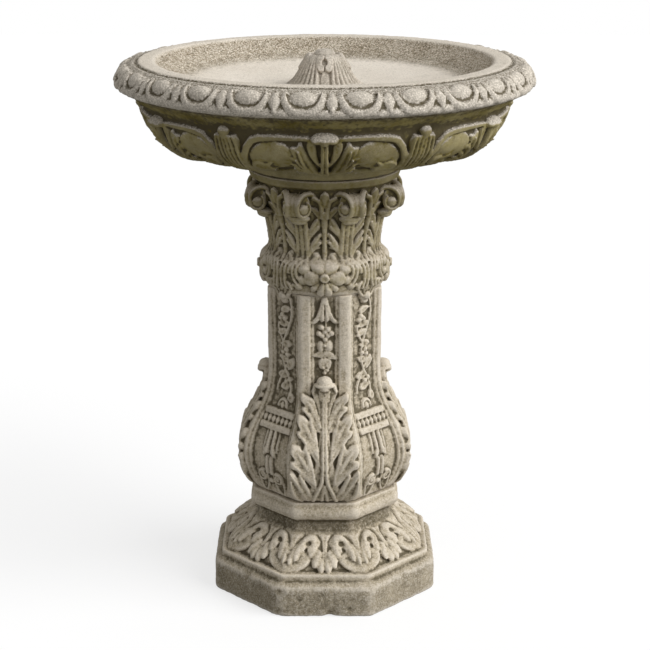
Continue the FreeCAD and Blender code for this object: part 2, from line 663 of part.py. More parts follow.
def make_pads(seat_radius, level):
    """The setting pads of one joint, just inside the edge of the smaller bed."""
    outwards = seat_radius - PAD_MARGIN - PAD_WIDTH
    corner = FreeCAD.Vector(-PAD_LENGTH / 2, -outwards - PAD_WIDTH, level)
    pad = Part.makeBox(PAD_LENGTH, PAD_WIDTH, JOINT_WIDTH, corner)
    return Part.makeCompound(ring_of(pad, PADS_PER_JOINT))


def main():
    bead_top = NECK_FLATS / 2 - NECK_TAPER + BEAD_SHOULDER
    collar_foot = COLLAR_RADIUS - COLLAR_SWELL
    basin_foot = BASIN_FOOT_RADIUS - BASIN_FOOT_EASE
    nodes = {
        "plinth": make_plinth(),
        "shaft": make_shaft(),
        "capital": make_capital(),
        "basin": make_basin(),
        "boss": make_boss(),
        "plinth_dowel": make_dowel(PLINTH_DOWEL_DIAMETER, PLINTH_DOWEL_REACH, PLINTH_TOP),
        "shaft_dowel": make_dowel(SHAFT_DOWEL_DIAMETER, SHAFT_DOWEL_REACH, SHAFT_TOP),
        "capital_dowel": make_dowel(CAPITAL_DOWEL_DIAMETER, CAPITAL_DOWEL_REACH, CAPITAL_TOP),
        "boss_dowel": upright(BOSS_DOWEL_DIAMETER / 2, 2 * BOSS_DOWEL_REACH, BOSS_FOOT - BOSS_DOWEL_REACH),
        "plinth_grout": make_grout(PLINTH_DOWEL_DIAMETER, PLINTH_DOWEL_REACH, PLINTH_TOP),
        "shaft_grout": make_grout(SHAFT_DOWEL_DIAMETER, SHAFT_DOWEL_REACH, SHAFT_TOP),
        "capital_grout": make_grout(CAPITAL_DOWEL_DIAMETER, CAPITAL_DOWEL_REACH, CAPITAL_TOP),
        "plinth_pads": make_pads(min(bead_top, BULB_FOOT_FLATS / 2), PLINTH_TOP),
        "shaft_pads": make_pads(min(SHAFT_FLATS / 2, collar_foot), SHAFT_TOP),
        "capital_pads": make_pads(min(ABACUS_RADIUS, basin_foot), CAPITAL_TOP),
    }
    os.makedirs("parts", exist_ok=True)
    for name, shape in nodes.items():
        shape.exportStep(f"parts/{name}.step")
        box = shape.optimalBoundingBox()
        print(f"{name}: {len(shape.Solids)} solid, {shape.Volume / 1e6:.3f} litres, valid {shape.isValid()}, "
              f"levels {box.ZMin:.1f} to {box.ZMax:.1f}, width {box.XLength:.1f}")


main()
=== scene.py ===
import math

import bpy
import numpy as np
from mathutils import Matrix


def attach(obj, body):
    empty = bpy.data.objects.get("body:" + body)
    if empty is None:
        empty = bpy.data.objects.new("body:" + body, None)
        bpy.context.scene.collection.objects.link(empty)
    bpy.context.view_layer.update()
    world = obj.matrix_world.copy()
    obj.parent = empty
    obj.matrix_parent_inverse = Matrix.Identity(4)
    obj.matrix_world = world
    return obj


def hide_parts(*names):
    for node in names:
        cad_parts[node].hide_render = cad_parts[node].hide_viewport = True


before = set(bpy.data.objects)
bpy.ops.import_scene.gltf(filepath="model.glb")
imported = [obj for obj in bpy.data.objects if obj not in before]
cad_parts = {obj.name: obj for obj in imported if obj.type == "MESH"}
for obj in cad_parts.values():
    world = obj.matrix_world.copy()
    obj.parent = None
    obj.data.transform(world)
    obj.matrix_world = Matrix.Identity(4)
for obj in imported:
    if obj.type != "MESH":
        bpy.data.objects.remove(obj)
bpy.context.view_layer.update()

# A carved stone birdbath. Stones are drawn in millimetres as closed shells, then fused and weathered.
MM = 0.001
FACES = 8
FACE_STEP = 360 / FACES
HALF_STEP = FACE_STEP / 2
HALF_TANGENT = math.tan(math.radians(HALF_STEP))
HALF_COSINE = math.cos(math.radians(HALF_STEP))
CORNER_WEAR = 70
CORNER_SOFTNESS = 3.0

# Camera and light
CAMERA_PLACE = (0.0, -2.583, 1.2272)
CAMERA_PITCH_DOWN = 17.14
CAMERA_LENS = 92.52
CAMERA_SENSOR = 36.0
IMAGE_SIZE = 650
AXIS_PIXEL = 324.6
KEY_STRENGTH = 3.1
KEY_SPREAD = 50
KEY_HEIGHT = 33
KEY_AZIMUTH = 68
SKY_STRENGTH = 0.45
FLOOR_SIZE = 14.0
FLOOR_BOUNCE = (0.30, 0.30, 0.29)
FLOOR_WHITE = (0.32, 0.32, 0.32)
FLOOR_GLOW = 0.70

# Fineness of the fused stones, in millimetres, and the most triangles of each
STONE_VOXEL = {"plinth": 1.5, "shaft": 1.2, "capital": 1.15, "basin": 1.45, "boss": 0.7}
MOST_TRIANGLES = 195000


# Curves and closed shells
def bezier(points, count):
    """A smooth curve that starts and ends at the outer control points."""
    work = np.repeat(np.array(points, float)[None], count, axis=0)
    share = np.linspace(0, 1, count)[:, None, None]
    while work.shape[1] > 1:
        work = work[:, :-1] * (1 - share) + work[:, 1:] * share
    return work[:, 0]


def spread(values, count):
    """A few values, spread evenly over a count of places."""
    return np.interp(np.linspace(0, 1, count), np.linspace(0, 1, len(values)), values)


def smooth_through(places, values):
    """A smooth function through a few points."""
    x, y = np.array(places, float), np.array(values, float)
    slope = np.gradient(y, x)

    def at(place):
        place = np.clip(place, x[0], x[-1])
        i = np.clip(np.searchsorted(x, place) - 1, 0, len(x) - 2)
        gap = x[i + 1] - x[i]
        u = (place - x[i]) / gap
        start = (1 + 2 * u) * (1 - u) ** 2 * y[i] + u * (1 - u) ** 2 * gap * slope[i]
        end = u * u * (3 - 2 * u) * y[i + 1] + u * u * (u - 1) * gap * slope[i + 1]
        return start + end

    return at


def smooth_step(low, high, value):
    share = np.clip((value - low) / (high - low), 0, 1)
    return share * share * (3 - 2 * share)


def through(points, count):
    """A smooth curve through its points, evenly spaced."""
    points = np.array(points, float)
    way = np.concatenate([[0], np.cumsum(np.linalg.norm(np.diff(points, axis=0), axis=1))])
    even = np.linspace(0, way[-1], count)
    return np.column_stack([smooth_through(way, column)(even) for column in points.T])


def turned(points, degrees):
    """Points turned about the upright axis, from the front towards the right."""
    a = math.radians(degrees)
    turn = np.array([[math.cos(a), math.sin(a), 0], [-math.sin(a), math.cos(a), 0], [0, 0, 1]])
    return points @ turn


def loft(rings):
    """Points, quads and triangles of a closed shell through rings of one count."""
    rows, around = rings.shape[:2]
    points = np.vstack([rings.reshape(-1, 3), rings[:1].mean(1), rings[-1:].mean(1)])
    i = np.arange(around)
    j = (i + 1) % around
    row = np.arange(rows - 1)[:, None] * around
    quads = np.stack([row + i, row + j, row + around + j, row + around + i], -1).reshape(-1, 4)
    last = (rows - 1) * around
    ends = [np.stack([j, i, np.full(around, rows * around)], 1)]
    ends.append(np.stack([last + i, last + j, np.full(around, rows * around + 1)], 1))
    return points, quads, np.vstack(ends)


class Stone:
    """Closed shells in millimetres that are fused into one stone."""

    def __init__(self):
        self.points, self.quads, self.triangles = [], [], []
        self.count = 0

    def add(self, *shells):
        for rings in shells:
            points, quads, triangles = loft(rings)
            self.points.append(points)
            self.quads.append(quads + self.count)
            self.triangles.append(triangles + self.count)
            self.count += len(points)

    def around(self, shells, count, first=0.0):
        """Adds the shells a number of times round the axis, starting at an angle from the front."""
        for k in range(count):
            self.add(*[turned(rings, first + 360 / count * k) for rings in shells])

    def mesh(self, name):
        mesh = bpy.data.meshes.new(name)
        faces = [f for group in self.quads + self.triangles for f in group.tolist()]
        mesh.from_pydata(np.vstack(self.points) * MM, [], faces)
        return mesh


def ring_angles(count):
    """Even angles round a full turn."""
    return np.linspace(0, 2 * np.pi, count, endpoint=False)


# Sections of what is swept, as (across, out) points
ROUND_CORNERS = 12
ROUND = np.column_stack([np.cos(ring_angles(ROUND_CORNERS)), np.sin(ring_angles(ROUND_CORNERS))])
GROOVED = np.array([
    (-1, -1), (-1, 0.1), (-0.8, 0.75), (-0.45, 1), (0, 0.4), (0.45, 1), (0.8, 0.75), (1, 0.1), (1, -1)])
RIDGED = np.array([(-1, -1), (-1, 0), (-0.55, 0.5), (-0.15, 1), (0.15, 1), (0.55, 0.5), (1, 0), (1, -1)])
BARRED = np.array([(-1, -1), (-1, 0.6), (-0.75, 1), (0.75, 1), (1, 0.6), (1, -1)])

# How widths and depths change along the way
EVEN = (1.0, 1.0)
TAPERED = (1.0, 0.9, 0.75, 0.55, 0.3)
LOBE_WIDTHS = (0.5, 0.8, 1.0, 1.0, 0.85, 0.55, 0.12)
LOBE_DEPTHS = (0.7, 0.95, 1.0, 1.0, 0.95, 0.8, 0.35)
FINGER_WIDTHS = (0.5, 0.75, 0.95, 1.1, 1.15, 1.0, 0.45)

# Steps along what is swept, and a spiral's degrees for each of its steps
RIB_STEPS = 16
LOBE_STEPS = 12
SPIRAL_STEP = 14
NO_LENGTH = 1e-6
POLE_GAP = 0.08


def sweep(path, widths, depths, section=ROUND):
    """Rings of a section carried along (across, along, out) points."""
    path = np.array(path, float)
    ahead = np.gradient(path, axis=0)
    ahead /= np.linalg.norm(ahead, axis=1)[:, None]
    side = np.cross(ahead, (0, 0, 1))
    side /= np.maximum(np.linalg.norm(side, axis=1), NO_LENGTH)[:, None]
    out = np.cross(side, ahead)
    across_part = section[None, :, 0, None] * np.array(widths)[:, None, None] * side[:, None]
    out_part = section[None, :, 1, None] * np.array(depths)[:, None, None] * out[:, None]
    return path[:, None] + across_part + out_part


def rib(points, width, depth, lift, section=ROUND, widths=EVEN, curve=bezier, depths=EVEN, count=RIB_STEPS):
    """A stem or moulding along a curve of (across, along) points, lifted off the wall from start to end."""
    path = np.column_stack([curve(points, count), np.linspace(*lift, count)])
    return sweep(path, width * spread(widths, count), depth * spread(depths, count), section)


def lobe(points, width, depth, lift, section=GROOVED, widths=LOBE_WIDTHS):
    """One lobe of a leaf, which swells and ends in a low tip."""
    return rib(points, width, depth, lift, section, widths, bezier, LOBE_DEPTHS, LOBE_STEPS)


def finger(start, bend, tip, width, depth, lift):
    """A rounded finger of a leaf's lobe."""
    return lobe((start, bend, tip), width, depth, lift, ROUND, FINGER_WIDTHS)


def spiral(centre, radii, angles, width, depth, out, widths=TAPERED, squeeze=1.0):
    """A band that winds in the face about a centre, between two radii and two angles in degrees."""
    count = max(LOBE_STEPS, int(abs(angles[1] - angles[0]) / SPIRAL_STEP))
    a = np.radians(np.linspace(*angles, count))
    r = np.linspace(*radii, count)
    across, along = centre[0] + r * np.cos(a), centre[1] + squeeze * r * np.sin(a)
    path = np.column_stack([across, along, np.full(count, out)])
    return sweep(path, width * spread(widths, count), np.full(count, depth))


def ball(centre, radii, rows=8, around=14):
    """A closed oval form with its own radius across, along and out."""
    tilt = np.linspace(POLE_GAP, np.pi - POLE_GAP, rows)[:, None]
    a = ring_angles(around)
    unit = np.broadcast_arrays(np.sin(tilt) * np.cos(a), np.cos(tilt), np.sin(tilt) * np.sin(a))
    return np.stack(unit, -1) * np.array(radii) + np.array(centre)


def from_half(half):
    """A whole outline or curve from its half on one side of the middle line."""
    return [*half, *[(-across, along) for across, along in reversed(half) if across]]


def closed_curve(points, each=5):
    """A smooth closed curve through its points."""
    p = np.array(points, float)
    before, after, later = np.roll(p, 1, 0), np.roll(p, -1, 0), np.roll(p, -2, 0)
    u = np.linspace(0, 1, each, endpoint=False)[:, None, None]
    bend = (2 * before - 5 * p + 4 * after - later) * u ** 2 + (3 * p - before - 3 * after + later) * u ** 3
    return (p + 0.5 * ((after - before) * u + bend)).transpose(1, 0, 2).reshape(-1, 2)


# Rings of a petal: shares of its outline, of its edge's height and of its middle's height
PETAL_RINGS = ((1.0, 0.0, 0.0), (1.0, 0.6, 0.0), (0.95, 0.93, 0.0), (0.86, 1.0, 0.0), (0.55, 0.4, 0.6),
               (0.25, 0.0, 1.0))
CREST_LEAST = 0.7
CREST_GAIN = 0.3


def petal(outline, rim, middle, foot=-3.0, centre=None):
    """A leaf lobe inside a closed outline, its edge highest where the outline reaches farthest."""
    curve = closed_curve(outline)
    centre = curve.mean(0) if centre is None else np.array(centre, float)
    reach = np.linalg.norm(curve - centre, axis=1)
    crest = rim * (CREST_LEAST + CREST_GAIN * reach / reach.max())
    rings = []
    for share, edge, inner in PETAL_RINGS:
        height = edge * crest + inner * middle if edge or inner else np.full(len(curve), foot)
        rings.append(np.column_stack([centre + (curve - centre) * share, height]))
    return np.stack(rings)


def mirrored(shells):
    return [rings * (-1, 1, 1) for rings in shells]


def both_sides(shells):
    return shells + mirrored(shells)


def moved(shells, along, out=0.0):
    return [rings + (0, along, out) for rings in shells]


# Charts: places of (across, along, out) points on a stone's wall
WALL_STEPS = 200


def face_chart(apothem):
    def place(local):
        out = apothem(local[..., 1]) + local[..., 2]
        return np.stack([local[..., 0], -out, local[..., 1]], -1)

    return place


def corner_chart(apothem):
    def place(local):
        away = np.sqrt(local[..., 0] ** 2 + CORNER_SOFTNESS ** 2) - CORNER_SOFTNESS * 0.5
        out = apothem(local[..., 1]) / HALF_COSINE - HALF_TANGENT * away + local[..., 2]
        return np.stack([local[..., 0], -out, local[..., 1]], -1)

    return place


def polar(radius, angle, height):
    """Points at a distance from the axis and an angle from the front."""
    return np.stack(np.broadcast_arrays(radius * np.sin(angle), -radius * np.cos(angle), height), -1)


def profile_wall(profile):
    """A turned wall through (radius, height) points, with along measured on it from the first of them."""
    profile = np.array(profile, float)
    marks = np.concatenate([[0], np.cumsum(np.hypot(*np.diff(profile, axis=0).T))])
    way = np.linspace(0, marks[-1], WALL_STEPS)
    r, z = [smooth_through(marks, column)(way) for column in profile.T]
    run = np.hypot(np.gradient(r), np.gradient(z))
    traits = (r, z, np.gradient(z) / run, -np.gradient(r) / run)

    def place(local):
        base, height, out_r, out_z = [np.interp(local[..., 1], way, trait) for trait in traits]
        out = local[..., 2]
        return polar(base + out * out_r, local[..., 0] / np.maximum(base, 1), height + out * out_z)

    return place


def charted(chart, shells):
    return [chart(rings) for rings in shells]


# Bodies of the stones
AXIS_GAP = 0.01


def octagon_reach(angles):
    """How far an octagon of apothem 1 with worn corners reaches at each angle."""
    facing = np.cos(angles[:, None] - np.radians(np.arange(FACES) * FACE_STEP))
    return (np.clip(facing, 0, None) ** CORNER_WEAR).sum(1) ** (-1 / CORNER_WEAR)


def turned_body(profile, columns=256):
    angles = ring_angles(columns)
    return np.stack([polar(max(r, AXIS_GAP), angles, z) for r, z in profile])


def octagon_body(rows, columns=384, cut=None):
    """An octagonal body through (apothem, height) rows; cut says how deep each place is sunk."""
    angles = ring_angles(columns)
    reach = octagon_reach(angles)
    nearest = (angles + math.radians(HALF_STEP)) % math.radians(FACE_STEP) - math.radians(HALF_STEP)
    face = np.round(np.degrees(angles - nearest) / FACE_STEP).astype(int) % FACES
    rings = []
    for apothem, height in rows:
        radius = apothem * reach
        across = radius * np.sin(nearest)
        sunk = 0 if cut is None else cut(face, across, height) / np.cos(nearest)
        rings.append(polar(radius - sunk, angles, height))
    return np.stack(rings)


# Plinth
FOOT_ROWS = ((178, 0), (180, 3), (180, 46), (178.6, 49.5), (176, 51.5), (169.5, 56), (169, 58), (169, 64.5),
             (167.5, 67))
SKIRT = smooth_through((66, 76, 88, 99, 107, 113), (154, 150.5, 139, 127, 117.5, 113))
SKIRT_HEIGHTS = np.linspace(67, 113, 24)
NECK_ROWS = ((113, 113.5), (109.5, 117.5), (107, 124), (106.5, 133), (108.5, 136.5))
BEAD_ROWS = ((116, 139.5), (119, 143), (120.5, 148), (120.5, 152), (119.3, 157), (117, 161), (116.2, 165),
             (116, 168))
CURL_EYE = (24.6, 102.5)
CURL_HOOD = ((40, 97), (40.5, 103), (35, 108), (26, 110), (17, 108.5), (10.5, 104), (9, 96), (13, 90),
             (19, 95), (24.6, 98), (29, 96), (34, 90))
CURL_WIDTHS = (0.8, 1, 1.1, 1, 0.8)


def corner_leaf():
    """The broad leaf that wraps each corner of the skirt: two curls with deep eyes over a hollow tongue."""
    half = [
        petal(CURL_HOOD, 4.5, 0.5, centre=CURL_EYE),
        spiral(CURL_EYE, (8.2, 8.2), (-75, 250), 4.1, 5.5, 3.0, CURL_WIDTHS, 0.82),
        finger((33.5, 103), (37.5, 96), (33.5, 87.5), 5.2, 5.5, (3, 5.5)),
        finger((16.5, 103), (12.5, 97), (14.5, 83.5), 5.0, 6.0, (3, 6.5)),
        finger((9.5, 101), (5, 93), (6, 79), 3.7, 5.0, (1, 5.5)),
        rib(((9, 70), (10, 77), (10, 86)), 1.5, 2.2, (2, 2)),
    ]
    tongue = from_half(((0, 67), (22, 69.5), (33, 77), (35, 87), (20, 93), (0, 95)))
    stem = rib(((0, 112), (0, 100), (0, 82)), 1.0, 2.6, (0, 2.5), GROOVED, (12, 6, 3.2, 2.4, 2.2))
    return both_sides(half) + [petal(tongue, 7, 2.5, centre=(0, 82)), stem]


def face_leaf():
    """The fan of four lobes at the middle of each face of the skirt, on its flaring stem."""
    lobes = both_sides([
        finger((6, 93), (11, 89), (17.5, 74), 6.2, 6.0, (2, 6)),
        finger((3, 86), (5.5, 78), (6.5, 67.5), 5.4, 6.0, (3, 6.5)),
    ])
    stem = rib(((0, 112), (0, 98), (0, 78)), 1.0, 3.4, (0.5, 4.5), GROOVED, (9, 4.5, 3.3, 3.0, 2.8))
    return lobes + [stem]


def make_plinth():
    stone = Stone()
    skirt = [(float(SKIRT(z)), z) for z in SKIRT_HEIGHTS]
    stone.add(octagon_body((*FOOT_ROWS, *skirt, *NECK_ROWS, *BEAD_ROWS)))
    stone.around(charted(corner_chart(SKIRT), corner_leaf()), FACES, HALF_STEP)
    stone.around(charted(face_chart(SKIRT), face_leaf()), FACES)
    return stone


# Shaft with its bulb
MAIN_FACES = 4
BULB = smooth_through(
    (170, 177, 185, 200, 215, 230, 246, 262, 278, 295, 312, 330, 348, 420, 505),
    (110, 115.5, 120, 126.5, 130.8, 132.5, 131.5, 127.5, 120.5, 111.5, 102.5, 95.5, 92, 90.5, 90.5))
BULB_HEIGHTS = np.linspace(170, 350, 110)
SHAFT_HEIGHTS = np.linspace(352, 505, 70)
SHAFT_COLUMNS = 640
PANEL_DEPTH = 6.0
PANEL_HALF = 22.5
PANEL_FOOT = (318, 345)
DIAGONAL_HALF = smooth_through(
    (170, 185, 205, 230, 260, 290, 320, 348, 505), (24, 37, 45, 48, 46, 42, 36, 32, 31.5))
DIAGONAL_DEPTH = smooth_through((170, 178, 195, 230, 290, 348, 505), (0, 3, 7, 9, 8.5, 6, 6))
# The two steps of a panel's frame: share of the depth, and where the step starts and ends
FRAME_STEPS = ((0.45, -0.8, 0.8), (0.55, 4.6, 6.0))
# The bulb leaf's lobes on one side, from the top: outline, middle, edge, and fingers by root, bend and tip
LEAF_TIERS = (
    (((5, 296), (11, 318), (16, 333), (19, 338), (27, 343), (36.5, 346.5), (38, 337), (31, 328.5),
      (36, 324.5), (33.5, 319), (24, 316), (15.5, 309.5), (9.5, 299)),
     (17, 322), 8.6,
     (((7, 290), (13, 320), (35, 344)), ((9, 290), (16, 310), (34, 323)))),
    (((12.5, 289), (16.5, 300), (19, 308.5), (22, 313), (25.5, 306), (31.5, 311.5), (41.5, 313.5),
      (43.5, 303.5), (39, 293.5), (44, 289.5), (40.5, 282), (29, 278), (21.5, 268.5), (14.5, 258),
      (9, 253)),
     (22, 286), 8.6,
     (((10.5, 258), (17, 286), (22, 309)), ((9, 240), (15, 284), (40, 311)),
      ((12, 246), (22, 271), (42, 289)))),
    (((20.5, 250), (23.8, 259), (27.2, 269.5), (30, 275.5), (35, 265), (40, 269.5), (51.5, 271),
      (54, 260.5), (47.7, 250), (54.5, 245), (52.5, 236), (37, 230.5), (29, 221), (22, 210.5), (13, 206)),
     (31, 242), 8.6,
     (((15, 212), (23.5, 244), (30, 272)), ((13, 194), (22, 238), (50, 269)),
      ((18, 202), (31, 226), (52, 245)))),
    (((30, 209), (34, 221), (39, 229), (42.5, 219), (47, 226.5), (54, 230.5), (56, 217), (54.5, 200),
      (46, 183), (40, 175), (23, 173), (16, 180)),
     (36, 200), 6.4,
     (((20, 178), (30, 200), (39.5, 226)), ((25, 172), (37, 196), (54.5, 228)),
      ((34, 172), (51, 176), (53.5, 213)))),
)
LEAF_MIDDLE = 6.0
LEAF_RIDGE = {"width": 3.5, "depth": 2.4, "lift": (3.8, 6.2), "widths": (0.5, 0.9, 1.1, 1.0, 0.4)}
BLADE = np.array(((14, 346), (7.5, 305), (8, 285), (13, 255), (20, 215), (26, 174)))
BERRY = 4.2
SMALL_BERRY = 3.2
LEAFLET_HEIGHT = 4.2
# Leaves of the vine: start, tip and half width
VINE_LEAVES = (
    ((10, 479), (-9, 473), 5), ((9, 455), (-12, 450), 5.5), ((4, 443), (-14, 434), 4.5),
    ((-9, 418), (11, 420), 5.5), ((-12, 398), (4, 390), 5), ((5, 376), (14, 397), 5.5),
    ((7, 368), (-14, 366), 6), ((10, 353), (-8, 345), 6), ((10, 342), (14, 324), 5),
)
VINE_WIDENING = 1.18
BAR_HALF = 31


def panel_cut(face, across, height):
    """Sunk panels: narrow ones on the four main faces above the leaf, long ones on the diagonals."""
    diagonal = face % 2 == 1
    half = np.where(diagonal, DIAGONAL_HALF(height), PANEL_HALF)
    deep = np.where(diagonal, DIAGONAL_DEPTH(height), PANEL_DEPTH * smooth_step(*PANEL_FOOT, height))
    inside = half - np.abs(across)
    return deep * sum(share * smooth_step(start, end, inside) for share, start, end in FRAME_STEPS)


def leaf_tier(outline, middle, edge, fingers):
    """One lobe of the bulb leaf, with the long ridges that run from beside the midrib to its tips."""
    ridges = [rib(points, **LEAF_RIDGE) for points in fingers]
    return [petal(outline, edge, LEAF_MIDDLE, centre=middle), *ridges]


def bulb_leaf():
    """The acanthus leaf on a main face of the bulb, with its midrib parting at the foot."""
    shells = [shell for tier in LEAF_TIERS for shell in leaf_tier(*tier)]
    shells += [
        rib(BLADE * (0.5, 1), 1.0, 5.0, (0.5, 0.5), BARRED, BLADE[:, 0] * 0.5, through),
        petal(((4, 300), (10, 321), (17, 340), (20, 352), (4, 354)), 7, 6),
        rib(((1.7, 354), (1.9, 290), (3.0, 224)), 3.0, 4.5, (4, 5)),
        rib(((3.0, 228), (4.5, 212), (11, 194), (19, 172)), 3.4, 4.5, (5, 4), curve=through),
        rib(((0, 206), (1.4, 192), (5, 172)), 3.2, 4.0, (3, 3)),
    ]
    return both_sides(shells)


def knob():
    """The leaf's tip, curled over in front of the shaft like a drooping hood."""
    hood = [ball((0, 366, 5), (12.5, 9, 12)), ball((0, 361, 6), (17, 5, 13)),
            ball((0, 356.5, 8), (8, 5, 11))]
    wing = petal(((10, 361), (16, 361), (19, 355), (19.5, 347), (16, 351), (12, 355)), 8, 8)
    stalk = [rib(((0, 335), (0, 350), (0, 362)), 10, 6, (1, 4), BARRED, (0.8, 1, 1.1))]
    return hood + both_sides([wing]) + stalk


def berries(places, size):
    return [ball((across, along, 1.5), (size, size, size + 1)) for across, along in places]


def flower_drop():
    """The bell flower, berries and leaves that hang in each main panel, from the panel's floor."""
    bell = both_sides([
        petal(((0, 502), (4, 500), (8, 486), (14, 470), (22, 461), (14, 460), (8, 466), (3, 470), (1, 485)),
              5.5, 6.5),
        petal(((0.5, 499), (4, 488), (7, 470), (5, 462), (1, 466), (0.5, 480)), 6.5, 7.5),
    ])
    stem = [rib(((0, 466), (5, 457), (-1, 444), (1, 420), (0, 378)), 1.7, 3.0, (1, 1))]
    cluster = ((-5, 453), (5.5, 450), (10.5, 443), (-9, 443), (0.5, 446), (5, 440), (-4, 440), (1, 434))
    tip = ((4, 390), (-2, 387), (4, 383), (0, 378))
    pods = [ball((6, 422, 1), (6.5, 10, 5)), ball((-5.5, 421, 1), (5.6, 9.5, 4.4)),
            ball((0, 424, 3), (2.4, 2.4, 5))]
    leaves = [
        petal(((0, 411), (-9, 414), (-19, 406), (-12, 404), (-3, 404)), 4.5, 3.5),
        petal(((0, 413), (10, 413), (19, 402), (11, 401), (3, 405)), 4.8, 3.8),
        petal(((0, 402), (-8, 400), (-9, 390), (-5, 385), (0, 391)), 4.5, 4.0),
        petal(((0, 402), (9, 400), (10, 390), (6, 384), (1, 391)), 4.8, 4.2),
    ]
    return bell + stem + berries(cluster, BERRY) + pods + leaves + berries(tip, SMALL_BERRY)


def leaflet(start, tip, width):
    """A small rounded leaf from a start to a tip, both (across, along)."""
    start, tip = np.array(start, float), np.array(tip, float)
    ahead = tip - start
    side = np.array((ahead[1], -ahead[0])) / np.hypot(*ahead) * width
    outline = [start, start + 0.35 * ahead + 0.9 * side, start + 0.7 * ahead + side, tip,
               start + 0.7 * ahead - side, start + 0.35 * ahead - 0.9 * side]
    return petal(outline, LEAFLET_HEIGHT, 0.75 * LEAFLET_HEIGHT)


def vine():
    """The scrolling vine of a diagonal panel, from the panel's floor."""
    stem = rib(((9, 496), (19, 468), (15, 438), (-24, 424), (-19, 383), (8, 372), (19, 354), (8, 328)),
               2.1, 3.8, (1, 1))
    second = rib(((-13, 452), (-16, 425), (16, 408), (18, 386), (-14, 372), (-15, 338)), 1.8, 3.4, (1, 1))
    leaves = [leaflet(*leaf) for leaf in VINE_LEAVES]
    fruit = ((-6, 466), (-1, 461), (-9, 460), (2, 410), (-4, 405), (4, 402), (8, 361), (2, 357))
    top = [ball((0, 499, 2), (9, 8, 8)), ball((0, 491, 3), (6, 5, 6))]
    return [stem, second] + leaves + berries(fruit, BERRY) + top


def bulb_pendant():
    """Bars, beads, tassel and scrolls of a diagonal face of the bulb, from the panel's floor."""
    low_half = BAR_HALF + 2
    bars = [
        rib(((-BAR_HALF, 306), (0, 306), (BAR_HALF, 306)), 4.6, 4.5, (1, 1), BARRED),
        rib(((-low_half, 284), (0, 284), (low_half, 284)), 4.6, 4.5, (1, 1), BARRED),
    ]
    beads = [ball((across, 295, 1.5), (3.6, 5, 4)) for across in np.linspace(3 - BAR_HALF, BAR_HALF - 3, 7)]
    arch = [spiral((0, 318), (8.5, 8.5), (200, -20), 2.4, 3.4, 1.5, EVEN),
            ball((0, 318, 1.5), (4.2, 5.5, 4.2))]
    tassel = both_sides([
        rib(((5.2, 280), (5.4, 262), (6.2, 243)), 3.6, 4.0, (1, 2)),
        lobe(((5.5, 256), (7, 246), (13, 238)), 4.0, 4.2, (1.5, 3)),
        rib(((4.4, 238), (4.6, 224), (5.2, 207)), 3.7, 4.2, (1.5, 2), widths=(0.8, 1, 1.1)),
        rib(((13.5, 280), (14, 262), (14.5, 246)), 2.6, 2.6, (0, 0)),
        spiral((17, 201), (9.5, 4.0), (120, -330), 3.0, 4.2, 2.0),
        ball((17, 201, 2), (4.0, 4.0, 4.5)),
        rib(((9, 210), (3, 196), (10, 180), (18, 172)), 2.2, 3.0, (1, 0)),
        rib(((26, 201), (29, 186), (22, 172)), 2.2, 3.0, (1, 0)),
    ])
    return bars + beads + arch + tassel + [ball((0, 195, 2), (4.6, 4.6, 4.6))]


def diagonal_lines():
    """Fine raised lines beside the long diagonal panels."""
    way = np.linspace(346, 190, 40)
    path = np.column_stack([DIAGONAL_HALF(way) - 7.5, way, np.full(way.size, -1.5)])
    return both_sides([sweep(path, np.full(way.size, 1.5), np.full(way.size, 3.0))])


def make_shaft():
    stone = Stone()
    rows = [(float(BULB(z)), z) for z in (*BULB_HEIGHTS, *SHAFT_HEIGHTS)]
    stone.add(octagon_body(rows, SHAFT_COLUMNS, panel_cut))
    main = bulb_leaf() + knob() + moved(flower_drop(), 0, -PANEL_DEPTH)
    stone.around(charted(face_chart(BULB), main), MAIN_FACES)
    floor = face_chart(lambda z: BULB(z) - DIAGONAL_DEPTH(z))
    wide_vine = [rings * (VINE_WIDENING, 1, 1) for rings in vine()]
    diagonal = wide_vine + bulb_pendant() + diagonal_lines()
    stone.around(charted(floor, diagonal), MAIN_FACES, FACE_STEP)
    return stone


# Capital with its collar
BELL_PROFILE = (
    (88, 507), (90, 505.6), (92.5, 505.8), (95, 510), (96.5, 517), (97.5, 535), (96.5, 550), (92.5, 558),
    (87, 563), (84, 567), (83.5, 580), (85.5, 600), (89.5, 618), (97, 640), (104, 660), (108, 676),
    (113, 679), (117, 681), (119, 687), (119.5, 692),
)
BELL = smooth_through((507, 515, 535, 555, 566, 580, 600, 620, 640, 660, 692),
                      (92, 95, 96, 93.5, 84.5, 83.5, 85.5, 90, 97, 103.5, 112))
COLLAR_MIDDLE = 537
WRAP_EYE = (44, 546)
WRAP_MIDDLE = (44, COLLAR_MIDDLE)
WRAP_HALF = 23.0
WRAP_SQUEEZE = 1.35
WRAP_WIDTHS = (0.65, 1, 1, 0.65)
HORN_REACH = 129.5
HORN_HALF = 5.5
HORN_LEAN = 57.5
HORN_DEPTH = 13.5
HORN_TALL = 18.0
HORN_HEIGHT = 653.0
EYE_HEIGHT = 648.5
# Rings of a horn's rolled band: shares of its half width and of its size
ROLL_RINGS = ((-1, 0.3), (-1, 1.0), (-0.7, 0.95), (-0.3, 0.93), (0, 0.99), (0.3, 0.93), (0.7, 0.95), (1, 1),
              (1, 0.3))
